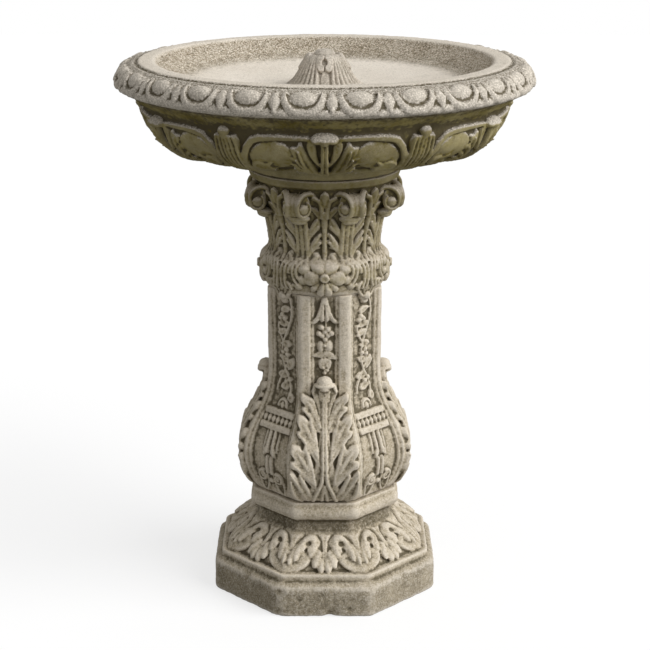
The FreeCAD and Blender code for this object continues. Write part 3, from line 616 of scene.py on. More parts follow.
# The frond's broad lobes and their ridges on one side, from the collar up
FROND_LOBES = (
    ((12, 554), (13, 566), (17, 573), (23, 572.5), (28, 566), (29, 554)),
    ((7, 560), (9, 574), (12, 586), (17, 595), (24, 603), (29, 606), (29, 600), (25, 596.5), (29.5, 593),
     (28.5, 588), (23.5, 585), (25.5, 580.5), (19, 578), (14, 574), (11, 566)),
    ((7, 586), (10, 602), (14, 616), (20, 625.5), (27, 631), (29, 622), (27, 612), (19, 605.5), (13, 597)),
)
FROND_RIDGES = (
    ((15, 556), (19, 564), (22, 570)), ((8, 562), (14, 586), (27, 604)), ((12, 572), (19, 584), (27, 591)),
    ((8, 590), (14, 612), (26, 628)), ((11, 598), (18, 610), (27, 617)),
)
# Folds of the frond: place across and half width
FROND_FOLDS = ((-7.2, 3.8), (0, 4.2), (7.2, 3.8))


def bell_wall(local):
    """Places (across, height, out) points on the round bell and collar."""
    radius = BELL(local[..., 1])
    return polar(radius + local[..., 2], local[..., 0] / radius, local[..., 1])


def sector_petal(angles, inner, outer, rim, middle):
    """A petal between two angles, in degrees, and two distances from a flower's middle."""
    first, last = np.radians(angles)
    span = last - first
    half = ((inner, 0.1), (0.55 * outer, -0.03), (0.86 * outer, 0.08), (outer, 0.34))
    places = half + tuple((r, 1 - share) for r, share in reversed(half))
    turns = [(r, first + share * span) for r, share in places]
    return petal([(r * math.cos(a), r * math.sin(a)) for r, a in turns], rim, middle)


def rosette():
    """A flower of broad pillowed petals round a dimpled button."""
    petals = both_sides([
        sector_petal((-33, 27), 4, 31, 8.0, 9.0), sector_petal((31, 92), 4, 29, 7.0, 8.0),
        sector_petal((-92, -62), 4, 31, 8.0, 8.5), sector_petal((-60, -35), 9, 29, 6.0, 6.5),
    ])
    button = [ball((0, 0, 7), (7.4, 7.4, 4.5)), spiral((0, 0), (4.6, 4.6), (0, 350), 2.4, 2.0, 10, EVEN)]
    return moved(petals + button, COLLAR_MIDDLE)


def wrap(centre, radius, parts=((-1, 1),)):
    """Curved folds of the collar's leaf, to the left of a centre, over parts of the collar's height."""
    reach = math.degrees(math.asin(min(1, WRAP_HALF / (WRAP_SQUEEZE * radius))))
    spans = [(180 + low * reach, 180 + high * reach) for low, high in parts]
    return [spiral(centre, (radius, radius), turn, 3.7, 6.6, -0.3, WRAP_WIDTHS, WRAP_SQUEEZE)
            for turn in spans]


def garland():
    """Right half of the leaf wraps between a diagonal and the rosette beside it, round a dark eye."""
    wraps = [fold for radius in (13.0, 19.5) for fold in wrap(WRAP_EYE, radius)]
    wraps += [fold for radius in (33.5, 40.5) for fold in wrap(WRAP_MIDDLE, radius)]
    wraps += wrap(WRAP_MIDDLE, 26.5, ((-1, -0.1), (0.5, 1)))
    lobes = [ball((44, 549, 1), (10.5, 9.5, 7)), ball((42, 532, 1), (8.5, 8, 6.5)),
             ball((34, 521, 0), (7, 6.5, 6.5))]
    tail = [rib(((18, 526), (10, 516), (6, 506)), 2.6, 4, (1, -1)),
            rib(((27, 524), (20, 512), (8, 500)), 2.8, 4, (1, -1))]
    return wraps + lobes + tail + [ball((0, 500, -1), (8, 7.5, 8))]


def plane_chart(edge, lean):
    """An upright plane: across runs inwards from an edge at (x, y), leaning away from the front."""
    a = math.radians(lean)
    axes = np.array(((math.cos(a), math.sin(a), 0), (0, 0, 1), (math.sin(a), -math.cos(a), 0)))

    def place(local):
        return local @ axes + np.array((*edge, 0))

    return place


def volute():
    """The spiral on the right flank of a horn: band, eye and the stone behind them."""
    eye = HORN_DEPTH + 1
    turn = ring_angles(16)
    back = np.column_stack([HORN_DEPTH * (1 + np.cos(turn)) + 0.5, HORN_HEIGHT + HORN_TALL * np.sin(turn)])
    band = ((36, 664), (27, 671), (15, 670.5), (6, 663), (2.5, 650), (6, 640), (eye, 636.5), (23, 641),
            (25.5, 650), (21, 658))
    return [
        petal(back, 0.5, -0.5, -14),
        rib(band, 3.3, 5.0, (1, 0), ROUND, (1, 1.1, 1.1, 1, 1, 0.9, 0.6), through),
        ball((eye, EYE_HEIGHT, 2), (7.6, 7.6, 4.6)),
    ]


def horn_roll():
    """The rolled band across the outer end of a horn, with raised edges."""
    a = ring_angles(32)
    rings = []
    for share, size in ROLL_RINGS:
        across = np.full(a.size, share * HORN_HALF)
        outwards = HORN_DEPTH - HORN_REACH + size * HORN_DEPTH * np.cos(a)
        rings.append(np.stack([across, outwards, HORN_HEIGHT + size * HORN_TALL * np.sin(a)], -1))
    return np.stack(rings)


def frond_fold(across, half):
    path = ((across * 1.15, 556), (across * 0.9, 590), (across, 628))
    return rib(path, half, 3.8, (2, 5.5), ROUND, (1.15, 1, 0.95))


def corner_frond():
    """The leaf below each horn: folds, a tip that curls outwards, and lobes that slant up beside it."""
    tip = [ball((0, 630.5, 9), (17, 6.5, 12)), ball((0, 625, 11), (11.5, 5.5, 10))]
    folds = [frond_fold(*fold) for fold in FROND_FOLDS]
    lobes = [petal(outline, 5.2, 4.6) for outline in FROND_LOBES]
    ridges = [rib(points, 3.2, 2.4, (3.0, 5.2), ROUND, (0.6, 1.0, 1.1, 0.5)) for points in FROND_RIDGES]
    return tip + folds + both_sides(lobes + ridges)


def bell_stem():
    """The stem at the middle of each face, forking to the horns, with its bud."""
    stem = rib(((0, 556), (0, 600), (0, 642)), 3.5, 4.8, (1, 4), widths=(1.2, 0.95, 1.5))
    fork = both_sides([
        rib(((3.2, 630), (4.2, 646), (9, 660), (18, 665)), 3.6, 5.0, (4, 3), curve=through),
        petal(((6.5, 630), (10, 632), (17, 640), (22, 648), (15, 648), (9, 642)), 5.0, 3.5),
    ])
    bud = [petal(from_half(((0, 648), (5.5, 658), (6.5, 668), (0, 675))), 7, 9)]
    return [stem] + fork + bud


def make_capital():
    stone = Stone()
    stone.add(turned_body(BELL_PROFILE))
    stone.around(charted(bell_wall, rosette()), MAIN_FACES)
    stone.around(charted(bell_wall, both_sides(garland())), MAIN_FACES, FACE_STEP)
    stone.around(charted(bell_wall, bell_stem()), FACES)
    flank = plane_chart((HORN_HALF, -HORN_REACH), HORN_LEAN)
    horn = both_sides(charted(flank, volute())) + [horn_roll()] + charted(bell_wall, corner_frond())
    stone.around(horn, FACES, HALF_STEP)
    return stone


# Basin
EGGS = 25
EGG_TURN = 9.03
FOOT_POINTS = ((0, 694), (119, 694), (121, 696), (124.5, 702), (125, 708), (123, 712))
UNDER_POINTS = ((123, 712.8), (128, 713.6), (150, 718.4), (175, 723.8), (200, 729.2), (222, 734), (240, 740),
                (256, 750.5), (268, 763), (276, 783), (281, 796), (287, 803))
COVE_POINTS = ((292, 807), (300, 814), (308, 820))
LIP_POINTS = ((312, 821.5), (317, 823), (320.5, 826.5), (321.5, 831), (319.5, 838), (314.5, 847), (306, 855),
              (294, 860))
INSIDE_POINTS = ((292.5, 859.3), (288.5, 859), (287, 861), (285, 862), (265, 862), (261, 861), (255, 856.5),
                 (236, 845.5), (222, 837.5), (210, 832.5), (196, 829.6), (180, 828), (150, 825.3), (64, 818),
                 (62, 814), (0, 814))
BASIN_COLUMNS = 320
BASIN_LEAVES = 6
MEDALLION = (75, 151)
SHELL_BAND = from_half(((-27.8, 45), (-27.4, 37), (-23.5, 26), (-13, 16.5), (0, 14.5)))
SHELL_WIDTHS = (0.5, 0.9, 1, 1.15, 1.15, 1.15, 1, 0.9, 0.5)
FADED_ENDS = (0.3, 1, 1, 1, 1, 1, 1, 1, 0.3)


def egg_and_shell():
    """One egg in its shell, along the lip from its lower edge."""
    egg = ball((0, 37, -1), (18.8, 12.5, 6), 12, 24)
    shell = rib(SHELL_BAND, 5.2, 3.2, (0.5, 0.5), ROUND, SHELL_WIDTHS, through, FADED_ENDS)
    inner_band = np.array(SHELL_BAND) * (0.9, 0.97) + (0, 2.5)
    edge = rib(inner_band, 1.2, 1.2, (3.0, 3.0), curve=through, depths=FADED_ENDS)
    return [egg, shell, edge]


def dart():
    """The spear between two eggs, with a low mound on each side of its point."""
    spear = petal(from_half(((2, 43.5), (5, 38), (7.5, 29), (4.5, 20), (0, 13))), 2.8, 3.8)
    ridge = rib(((0, 42), (0, 34), (0, 16)), 2.2, 2.0, (1.6, 2.4))
    mound = petal(((2, 13), (7, 18.5), (12, 18.5), (19, 12), (13, 8), (4, 8)), 1.3, 1.8)
    return [spear, ridge, *both_sides([mound])]


def basin_leaf():
    """The acanthus leaf under the bowl, along the wall from the foot ring: fans of lobes beside a stem."""
    fans = [
        petal(((8, 96), (26, 112), (44, 124), (38, 130), (48, 141), (40, 144), (48, 155), (41, 158),
               (48, 170), (40, 172), (33, 178), (25, 160), (14, 130)), 8, 5),
        petal(((7, 140), (15, 150), (22, 162), (25, 176), (19, 184), (13, 176), (11, 160)), 9, 6),
        petal(((6, 10), (16, 40), (22, 76), (34, 92), (30, 104), (14, 96), (6, 60)), 6, 4),
    ]
    tips = ((38, 126), (41, 140), (40, 154), (37, 167))
    veins = [rib(((9, 98), (24, 122), tip), 1.9, 3.5, (4, 7), RIDGED) for tip in tips]
    stem = [rib(((2.4, 6), (2.4, 60), (4.5, 104)), 2.4, 5, (3, 6)),
            rib(((4.5, 102), (2.2, 125), (2.6, 180)), 2.6, 5, (6, 8))]
    return both_sides(fans + veins + stem)


def basin_leaf_tip():
    """The leaf's tip, curled over below the lip."""
    return [ball((0, 190, 8), (19, 7.5, 11)), ball((0, 184, 9), (8, 5.5, 10)),
            ball((-11, 186, 8), (8.5, 6, 10)), ball((11, 186, 8), (8.5, 6, 10))]


def medallion():
    """A flat ribbon round a smooth oval medallion, with a small leaf curled into it."""
    x, y = MEDALLION
    ribbon = ((14, 185), (44, 186), (x, 186), (x + 29, 180), (x + 40, 160), (x + 38, 132), (x + 20, 114),
              (x - 8, 116))
    oval = [(x + 33 * math.cos(a), y + 28 * math.sin(a)) for a in ring_angles(14)]
    return [
        rib(ribbon, 4.6, 6.0, (1.5, 1.5), BARRED, (0.7, 1, 1.2, 1.1, 1, 0.8), through),
        petal(oval, 4.5, 5.5),
        petal(((x + 30, y - 12), (x + 21, y - 5), (x + 9, y - 9), (x - 1, y - 5), (x + 2, y - 16),
               (x - 6, y - 26), (x + 10, y - 30), (x + 25, y - 25)), 9, 7),
        rib(((x - 34, 108), (x - 10, 104), (x + 20, 102), (x + 40, 108)), 3.6, 5, (2, 2)),
        petal(((x - 30, 98), (x, 102), (x + 30, 98), (x + 10, 88), (x - 14, 88)), 5, 3.5),
    ]


def bud_strand(across):
    path = ((across * 0.5, 60), (across * 0.7, 120), (across * 1.5, 150), (across, 186))
    return rib(path, 2.6, 5.5, (2, 5))


def bud_leaf():
    """The bud between two medallions, on a sheaf of long strands."""
    strands = [bud_strand(across) for across in (2.5, 8, 14)]
    leaf = [petal(((10, 150), (18, 160), (20, 178), (14, 186), (10, 172)), 7, 5)]
    return both_sides(strands + leaf) + [ball((0, 194, 5), (9.5, 8, 8)), ball((0, 186, 5), (7, 6, 7))]


def make_basin():
    stone = Stone()
    profile = (*FOOT_POINTS, *UNDER_POINTS, *COVE_POINTS, *LIP_POINTS, *INSIDE_POINTS)
    stone.add(turned_body(profile, BASIN_COLUMNS))
    lip = profile_wall(LIP_POINTS)
    stone.around(charted(lip, egg_and_shell()), EGGS, EGG_TURN)
    stone.around(charted(lip, dart()), EGGS, EGG_TURN + 180 / EGGS)
    under = profile_wall(UNDER_POINTS)
    stone.around(charted(under, basin_leaf() + basin_leaf_tip() + both_sides(medallion())), BASIN_LEAVES)
    stone.around(charted(under, bud_leaf()), BASIN_LEAVES, 180 / BASIN_LEAVES)
    return stone


# Boss
BOSS_BODY = ((0, 814), (60, 814), (61, 816), (57, 818.5), (47, 827), (38, 840), (31, 852), (25, 861),
             (19, 865), (10, 868), (0, 869))
BOSS_WALL = ((60, 816.5), (47.5, 826.5), (38.5, 840), (31.5, 852), (25.5, 861), (17, 866))
BOSS_CAP = ((0, 862), (15, 863), (17, 866), (16.5, 870), (12, 874), (6, 875.6), (0, 876))
BOSS_COLUMNS = 160
CAP_COLUMNS = 48
BOSS_LEAVES = 4
BOSS_STRANDS = (((8.5, 64), (13.5, 45), (9, 29), (16, 2)), ((11, 64), (17, 45), (17, 28), (25, 1)),
                ((13.5, 64), (21, 45), (24.5, 27), (34.5, 1)), ((15.5, 64), (25.5, 45), (31, 26), (44, 1)))
STRAND = {"width": 2.1, "depth": 4.4, "lift": (0.6, 0.2), "widths": (0.8, 1.05, 1.45, 2.0)}


def boss_leaf():
    """A drooping leaf with a deep eye over a flaring tongue, with long strands beside them, up the wall."""
    half = petal(((0.6, 62), (6, 64), (10.5, 59), (12, 51), (10.5, 42), (7, 36), (3, 37), (0.8, 40),
                  (0.9, 45), (3.6, 48.5), (3.8, 54), (0.6, 57.5)), 6.5, 5.5, -2, (7.5, 50))
    strands = [rib(points, **STRAND) for points in BOSS_STRANDS]
    tongue = petal(from_half(((0, 42), (5, 32), (7, 14), (12, 1), (0, 0))), 2.0, 1.4, -2)
    return both_sides([half, *strands]) + [tongue]


def make_boss():
    stone = Stone()
    stone.add(turned_body(BOSS_BODY, BOSS_COLUMNS))
    stone.around(charted(profile_wall(BOSS_WALL), boss_leaf()), BOSS_LEAVES)
    stone.add(turned_body(BOSS_CAP, CAP_COLUMNS))
    return stone


# Fusing, weathering, and masks for painted shade and highlight. Dents are a place, a size and a depth; lumps
# are a height, a size and a seed
DENTS = {
    "plinth": (
        ((8, -180, 3), 9, 3.5), ((-73, -179, 44), 7, 3.0), ((74, -181, 50), 10, 2.5),
        ((-40, -181, 28), 5, 1.5), ((40, -181, 14), 6, 1.6), ((-76, -182, 8), 9, 2.5),
        ((130, -128, 48), 9, 2.5), ((-128, -130, 50), 9, 2.5),
    ),
}
LUMPS = ((0.35, 14, 3), (0.28, 5, 5), (0.22, 2.4, 7))
SOFTENING_ROUNDS = 2
FINE_ROUNDS = 6
BROAD_ROUNDS = 40
HASH_PRIMES = (73856093, 19349663, 83492791, 15485863)
HASH_MIXER = 1274126177


def lattice_value(cell, seed):
    """A random value from -1 to 1 for each cell, the same in every run."""
    x, y, z, s = [number * prime for number, prime in zip((*cell, seed), HASH_PRIMES)]
    mixed = x ^ y ^ z ^ s
    mixed = (mixed ^ (mixed >> 13)) * HASH_MIXER & 0x7FFFFFFF
    return ((mixed ^ (mixed >> 16)) & 0xFFFF) / 32767.5 - 1


def cloud(points, size, seed):
    """Smooth noise from -1 to 1 with lumps of a given size."""
    scaled = points / size
    cell = np.floor(scaled).astype(np.int64)
    part = scaled - cell
    part = part * part * (3 - 2 * part)
    total = np.zeros(len(points))
    for corner in range(8):
        step = np.array([corner & 1, corner >> 1 & 1, corner >> 2 & 1])
        weight = np.prod(np.where(step, part, 1 - part), axis=1)
        total += weight * lattice_value((cell + step).T, seed)
    return total


def values_of(rows, field, columns, kind=np.float32):
    flat = np.empty(len(rows) * columns, kind)
    rows.foreach_get(field, flat)
    return flat.reshape(-1, columns)


def coordinates(mesh):
    return values_of(mesh.vertices, "co", 3).astype(float)


def normals(mesh):
    return values_of(mesh.vertex_normals, "vector", 3).astype(float)


def edges_of(mesh):
    return values_of(mesh.edges, "vertices", 2, np.int32)


def set_coordinates(mesh, points):
    mesh.vertices.foreach_set("co", points.astype(np.float32).ravel())
    mesh.update()


def relaxed(values, edges, times):
    """Values averaged with their neighbours a number of times."""
    a, b = edges.T
    count = len(values)
    degree = np.bincount(edges.ravel(), minlength=count)[:, None]
    for _ in range(times):
        sums = [np.bincount(a, column[b], count) + np.bincount(b, column[a], count) for column in values.T]
        values = 0.5 * values + 0.5 * np.stack(sums, 1) / np.maximum(degree, 1)
    return values


def evaluated(source, name):
    graph = bpy.context.evaluated_depsgraph_get()
    mesh = bpy.data.meshes.new_from_object(source.evaluated_get(graph))
    mesh.name = name
    return mesh


def fused(stone, name):
    """One closed skin round all the shells of a stone, worn a little, within the triangle limit."""
    holder = bpy.data.objects.new(name, stone.mesh(name))
    bpy.context.scene.collection.objects.link(holder)
    remesh = holder.modifiers.new("fuse", "REMESH")
    remesh.mode = "VOXEL"
    remesh.voxel_size = STONE_VOXEL[name] * MM * 1
    skin = evaluated(holder, name)
    holder.modifiers.clear()
    holder.data = skin
    wear(skin, DENTS.get(name, ()))
    triangles = sum(len(p.vertices) - 2 for p in skin.polygons)
    if triangles > MOST_TRIANGLES:
        thin = holder.modifiers.new("thin", "DECIMATE")
        thin.ratio = MOST_TRIANGLES / triangles
        holder.data = evaluated(holder, name)
        holder.modifiers.clear()
    holder.data.shade_smooth()
    return holder


def wear(mesh, dents):
    """Softens the fused skin, dents it and gives it the small unevenness of old cast stone."""
    points = relaxed(coordinates(mesh), edges_of(mesh), SOFTENING_ROUNDS)
    set_coordinates(mesh, points)
    rise = sum(height * cloud(points, size * MM, seed) for height, size, seed in LUMPS)
    for place, size, depth in dents:
        away = np.linalg.norm(points - np.array(place) * MM, axis=1)
        rise -= depth * np.exp(-(away / (size * MM)) ** 2)
    points += normals(mesh) * (rise * MM)[:, None]
    points[:, 2] = np.clip(points[:, 2], 0, None)
    set_coordinates(mesh, points)


def hollow_measure(mesh, times):
    """How far each place lies below (+) or above (-) its surroundings, in millimetres."""
    points = coordinates(mesh)
    drift = relaxed(points, edges_of(mesh), times) - points
    return (drift * normals(mesh)).sum(1) / MM


def moss_and_shade_measure(height, facing):
    """Moss and painted shade below the bowl's lip, thinner towards the collar, and not on what faces up."""
    rising = 0.5 * smooth_step(500, 530, height) + 0.5 * smooth_step(560, 700, height)
    return smooth_step(826, 815, height) * rising * smooth_step(0.45, 0.0, facing)


def dirt_and_shade_measure(height, radius, y):
    """Dirt on the foot, painted shade round the neck under the bead, and a dark line in the rim's groove,
    darkest at the front.
    """
    # Painted shade round the neck, under the bead's overhang.
    neck = smooth_step(113, 118, height) * smooth_step(138, 134, height)
    groove = smooth_step(294, 292.5, radius) * smooth_step(286.5, 287.5, radius)
    groove *= smooth_step(840, 845, height) * (0.9 + 2.1 * smooth_step(60, -140, y))
    return np.maximum(smooth_step(66, 44, height), np.maximum(1.3 * neck, groove))


def dish_measure(height, radius, facing):
    """The inside of the bowl, apart from the boss."""
    reach = smooth_step(287, 285, radius) * smooth_step(62, 65, radius)
    return reach * smooth_step(810, 815, height) * smooth_step(-0.1, 0.2, facing)


def store(mesh, name, values):
    layer = mesh.attributes.new(name, "FLOAT", "POINT")
    layer.data.foreach_set("value", values.astype(np.float32))


def weather_and_painted_light(piece):
    """Stores how hollow each place of a stone is, its moss and painted shade under the bowl, its dirt and
    painted shade, and how pale it is, for its material.
    """
    mesh = piece.data
    x, y, height = coordinates(mesh).T / MM
    radius, facing = np.hypot(x, y), normals(mesh)[:, 2]
    # How far each place lies below or above its surroundings; hollows get stain and painted shade, raised
    # edges get wear and a painted highlight.
    hollow = 1.3 * hollow_measure(mesh, FINE_ROUNDS) + 0.28 * hollow_measure(mesh, BROAD_ROUNDS)
    # Up-facing hollows, from the bowl's underside upwards, get less stain and painted shade.
    hollow *= 1 - 0.6 * smooth_step(0.3, 0.9, facing) * smooth_step(700, 800, height)
    dish = dish_measure(height, radius, facing)
    pale = np.maximum(smooth_step(226, 192, radius), 0.75 * smooth_step(258, 264, radius))
    store(mesh, "hollow", np.clip(hollow, -2, 2))
    store(mesh, "moss_and_shade", moss_and_shade_measure(height, facing))
    store(mesh, "dirt_and_shade", dirt_and_shade_measure(height, radius, y))
    store(mesh, "dish", dish)
    store(mesh, "pale", dish * pale)


# Materials, in linear colours
STONE_LIGHT = (0.565, 0.49, 0.37)
STONE_DARK = (0.43, 0.365, 0.262)
GREY_LIGHT = (0.42, 0.375, 0.312)
GREY_DARK = (0.315, 0.28, 0.228)
BOSS_LIGHT = (0.66, 0.60, 0.52)
WALL_LIGHT = (0.53, 0.46, 0.36)
WALL_DARK = (0.31, 0.25, 0.17)
# Pale colour of the dish floor and the light grains, and of the worn edges with their painted highlight
PALE_AND_HIGHLIGHT = (0.86, 0.79, 0.69)
# Dark stain colour, for dark grains, dirt and painted shade
STAIN_AND_SHADE = (0.095, 0.078, 0.046)
# Moss colours, which also paint the shade under the bowl
MOSS_LIGHT = (0.34, 0.285, 0.112)
MOSS_DARK = (0.15, 0.117, 0.022)
STEEL_LIGHT = (0.62, 0.63, 0.64)
STEEL_DARK = (0.45, 0.46, 0.47)
GROUT_LIGHT = (0.52, 0.50, 0.46)
GROUT_DARK = (0.38, 0.37, 0.34)
PAD_LIGHT = (0.055, 0.055, 0.055)
PAD_DARK = (0.025, 0.025, 0.025)
STONE_GLOSS = 0.06

# Scales of the noise in stone, from broad to fine
BLOTCH_SCALE = 9
PATCH_SCALE = 16
SMEAR_SCALE = 34
MOTTLE_SCALE = 38
PIT_SCALE = 190
GRAIN_SCALE = 420


class Nodes:
    """Short ways to add nodes to a node tree."""

    def __init__(self, tree):
        self.nodes, self.links = tree.nodes, tree.links

    def noise(self, scale, detail=4.0, roughness=0.6):
        """Noise that is fixed to the object."""
        place = self.nodes.new("ShaderNodeTexCoord")
        noise = self.nodes.new("ShaderNodeTexNoise")
        for socket, amount in (("Scale", scale), ("Detail", detail), ("Roughness", roughness)):
            noise.inputs[socket].default_value = amount
        self.links.new(place.outputs["Object"], noise.inputs["Vector"])
        return noise.outputs["Fac"]

    def stored(self, name):
        node = self.nodes.new("ShaderNodeAttribute")
        node.attribute_name = name
        return node.outputs["Fac"]

    def seen_directly(self):
        """1 for what the camera sees, 0 for the light thrown on other surfaces."""
        return self.nodes.new("ShaderNodeLightPath").outputs["Is Camera Ray"]

    def ranged(self, value, low, high, start=0.0, end=1.0):
        """A value's stretch from low to high, brought to start and end."""
        node = self.nodes.new("ShaderNodeMapRange")
        for socket, amount in zip(("From Min", "From Max", "To Min", "To Max"), (low, high, start, end)):
            node.inputs[socket].default_value = amount
        self.links.new(value, node.inputs["Value"])
        return node.outputs["Result"]

    def math(self, operation, first, second):
        node = self.nodes.new("ShaderNodeMath")
        node.operation = operation
        self.links.new(first, node.inputs[0])
        self.links.new(second, node.inputs[1])
        return node.outputs[0]

    def product(self, first, second):
        return self.math("MULTIPLY", first, second)

    def blended(self, share, first, second):
        """Two colours, each a socket or a plain colour, mixed by a share."""
        node = self.nodes.new("ShaderNodeMix")
        node.data_type = "RGBA"
        self.links.new(share, node.inputs["Factor"])
        for socket, colour in zip((node.inputs[6], node.inputs[7]), (first, second)):
            if isinstance(colour, tuple):
                socket.default_value = (*colour, 1)
            else:
                self.links.new(colour, socket)
        return node.outputs[2]

    def bump(self, shader, fine, broad, strength, distance):
        bump = self.nodes.new("ShaderNodeBump")
        bump.inputs["Strength"].default_value = strength
        bump.inputs["Distance"].default_value = distance
        self.links.new(self.math("ADD", fine, broad), bump.inputs["Height"])
        self.links.new(bump.outputs["Normal"], shader.inputs["Normal"])


def new_material(name):
    material = bpy.data.materials.new(name)
    material.use_nodes = True
    return material, Nodes(material.node_tree), material.node_tree.nodes["Principled BSDF"]


def with_dish(tree, colour):
    """Adds the smeared wall of the bowl and its pale, blotched floor."""
    smears = tree.ranged(tree.noise(SMEAR_SCALE, 8, 0.7), 0.34, 0.66)
    colour = tree.blended(tree.stored("dish"), colour, tree.blended(smears, WALL_DARK, WALL_LIGHT))
    blotches = tree.ranged(tree.noise(BLOTCH_SCALE, 5), 0.32, 0.62, 0.78, 1.0)
    return tree.blended(tree.product(tree.stored("pale"), blotches), colour, PALE_AND_HIGHLIGHT)


def with_dirt_and_shade(tree, colour, mottle):
    # Dirt on the foot, painted shade round the neck, and a dark line in the rim's groove.
    dirt_and_shade = tree.product(tree.stored("dirt_and_shade"), tree.ranged(mottle, 0.35, 0.65, 0.26, 0.58))
    return tree.blended(dirt_and_shade, colour, STAIN_AND_SHADE)


def with_specks(tree, colour, grain, bare, speckle):
    """Adds dark and then light grains."""
    pepper = tree.product(tree.ranged(grain, 0.51, 0.60, 0.0, speckle), bare)
    salt = tree.product(tree.ranged(grain, 0.48, 0.39, 0.0, speckle), bare)
    return tree.blended(salt, tree.blended(pepper, colour, STAIN_AND_SHADE), PALE_AND_HIGHLIGHT)


def with_moss_and_shade(tree, colour, patches, mottle):
    # Moss and painted shade under the bowl, in patches.
    cover = tree.product(tree.stored("moss_and_shade"), tree.ranged(mottle, 0.30, 0.62, 0.84, 1.0))
    return tree.blended(cover, colour, tree.blended(patches, MOSS_DARK, MOSS_LIGHT))


def with_wear_and_painted_light(tree, colour, bare):
    """Adds hollows darkened by stain and painted shade, and raised edges paled by wear and a painted
    highlight.
    """
    hollow = tree.stored("hollow")
    # Hollows darken with stain and painted shade.
    depth = tree.product(tree.ranged(hollow, 0.07, 0.78, 0.0, 0.88), bare)
    # Edges get less paling where moss and painted shade lie.
    clear_of_moss_and_shade = tree.ranged(tree.stored("moss_and_shade"), 0, 1, 1.0, 0.25)
    # Raised edges pale with wear and a painted highlight.
    worn = tree.product(tree.ranged(hollow, -0.1, -0.8, 0.0, 0.38), clear_of_moss_and_shade)
    return tree.blended(worn, tree.blended(depth, colour, STAIN_AND_SHADE), PALE_AND_HIGHLIGHT)


def stone_material(name, light, dark, speckle):
    """Old cast stone: patchy tone, grain, pits, hollows darkened by stain and painted shade, edges paled by
    wear and a painted highlight, moss and painted shade below, dirt on the foot, painted shade round the
    neck, and a pale dish.
    """
    material, tree, shader = new_material(name)
    patches = tree.ranged(tree.noise(PATCH_SCALE, 5), 0.35, 0.65)
    mottle = tree.noise(MOTTLE_SCALE, 6)
    grain = tree.noise(GRAIN_SCALE, 3, 0.8)
    bare = tree.ranged(tree.stored("pale"), 0.0, 1.0, 1.0, 0.28)
    colour = with_dish(tree, tree.blended(patches, dark, light))
    colour = with_dirt_and_shade(tree, colour, mottle)
    colour = with_specks(tree, colour, grain, bare, speckle)
    colour = with_moss_and_shade(tree, colour, patches, mottle)
    colour = with_wear_and_painted_light(tree, colour, bare)
    tree.links.new(colour, shader.inputs["Base Color"])
    tree.links.new(tree.ranged(grain, 0.3, 0.7, 0.82, 0.98), shader.inputs["Roughness"])
    shader.inputs["Specular IOR Level"].default_value = STONE_GLOSS
    tree.bump(shader, grain, tree.noise(PIT_SCALE, 4), 0.6, 0.0018)
    return material


def plain_material(name, light, dark, scale, roughness, metallic=0.0):
    """A small hidden piece: two tones of grain, uneven gloss and a fine bump."""
    material, tree, shader = new_material(name)
    grain = tree.noise(scale)
    tree.links.new(tree.blended(grain, dark, light), shader.inputs["Base Color"])
    tree.links.new(tree.ranged(grain, 0.3, 0.7, *roughness), shader.inputs["Roughness"])
    shader.inputs["Metallic"].default_value = metallic
    tree.bump(shader, grain, tree.noise(scale / 4), 0.2, 0.0004)
    return material


# Stage
def make_floor():
    half = FLOOR_SIZE / 2
    mesh = bpy.data.meshes.new("floor")
    corners = [(-half, -half, 0), (half, -half, 0), (half, half, 0), (-half, half, 0)]
    mesh.from_pydata(corners, [], [(0, 1, 2, 3)])
    floor = bpy.data.objects.new("floor", mesh)
    bpy.context.scene.collection.objects.link(floor)
    material, tree, shader = new_material("floor")
    seen = tree.seen_directly()
    tree.links.new(tree.blended(seen, FLOOR_BOUNCE, FLOOR_WHITE), shader.inputs["Base Color"])
    shader.inputs["Roughness"].default_value = 1.0
    shader.inputs["Specular IOR Level"].default_value = 0.0
    shader.inputs["Emission Color"].default_value = (1, 1, 1, 1)
    tree.links.new(tree.ranged(seen, 0, 1, 0.0, FLOOR_GLOW), shader.inputs["Emission Strength"])
    mesh.materials.append(material)


def make_world():
    world = bpy.data.worlds.new("studio")
    bpy.context.scene.world = world
    world.use_nodes = True
    tree = Nodes(world.node_tree)
    background = tree.nodes["Background"]
    strength = tree.ranged(tree.seen_directly(), 0, 1, SKY_STRENGTH, 1.0)
    tree.links.new(strength, background.inputs["Strength"])
    background.inputs["Color"].default_value = (1, 1, 1, 1)


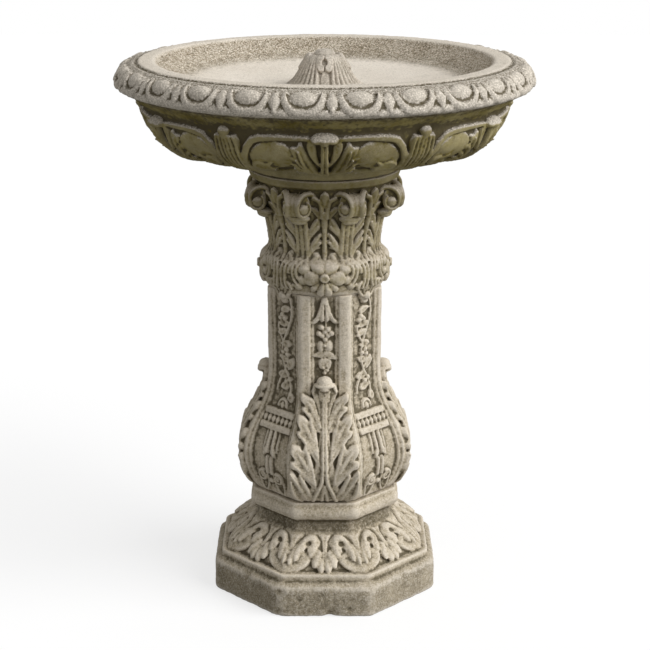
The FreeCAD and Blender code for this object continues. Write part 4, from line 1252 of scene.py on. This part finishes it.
def make_key_light():
    lamp = bpy.data.lights.new("key", "SUN")
    lamp.energy = KEY_STRENGTH
    lamp.angle = math.radians(KEY_SPREAD)
    key = bpy.data.objects.new("key", lamp)
    key.rotation_euler = (math.radians(90 - KEY_HEIGHT), 0, math.radians(KEY_AZIMUTH))
    bpy.context.scene.collection.objects.link(key)


def make_camera():
    lens = bpy.data.cameras.new("camera")
    lens.lens = CAMERA_LENS
    lens.sensor_width = CAMERA_SENSOR
    lens.shift_x = (IMAGE_SIZE / 2 - AXIS_PIXEL) / IMAGE_SIZE
    camera = bpy.data.objects.new("camera", lens)
    camera.location = CAMERA_PLACE
    camera.rotation_euler = (math.radians(90 - CAMERA_PITCH_DOWN), 0, 0)
    bpy.context.scene.collection.objects.link(camera)
    bpy.context.scene.camera = camera


# Assembly
STONES = {
    "plinth": (make_plinth, "pedestal_stone", "pedestal"),
    "shaft": (make_shaft, "pedestal_stone", "pedestal"),
    "capital": (make_capital, "pedestal_stone", "pedestal"),
    "basin": (make_basin, "bowl_stone", "bowl"),
    "boss": (make_boss, "bowl_stone", "boss"),
}


def stone_materials():
    return {
        "pedestal": stone_material("pedestal_stone_look", STONE_LIGHT, STONE_DARK, 0.34),
        "bowl": stone_material("bowl_stone_look", GREY_LIGHT, GREY_DARK, 0.92),
        "boss": stone_material("boss_stone_look", BOSS_LIGHT, GREY_LIGHT, 0.35),
    }


def dress_hidden_nodes():
    looks = {
        "dowel": plain_material("dowel_steel_look", STEEL_LIGHT, STEEL_DARK, 900, (0.22, 0.42), 1.0),
        "grout": plain_material("grout_look", GROUT_LIGHT, GROUT_DARK, 500, (0.8, 0.95)),
        "pads": plain_material("pad_look", PAD_LIGHT, PAD_DARK, 700, (0.5, 0.7)),
    }
    for name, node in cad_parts.items():
        for ending, look in looks.items():
            if name.endswith(ending):
                node.data.materials.clear()
                node.data.materials.append(look)


def carve_stones():
    looks = stone_materials()
    for name, (make, slot, look) in STONES.items():
        piece = fused(make(), name)
        piece.name = f"carved_{name}"
        weather_and_painted_light(piece)
        piece.data.materials.append(looks[look])
        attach(piece, name)
        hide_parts(name)


def main():
    bpy.context.scene.view_settings.view_transform = "Standard"
    make_camera()
    make_world()
    make_key_light()
    make_floor()
    dress_hidden_nodes()
    carve_stones()
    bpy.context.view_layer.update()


main()
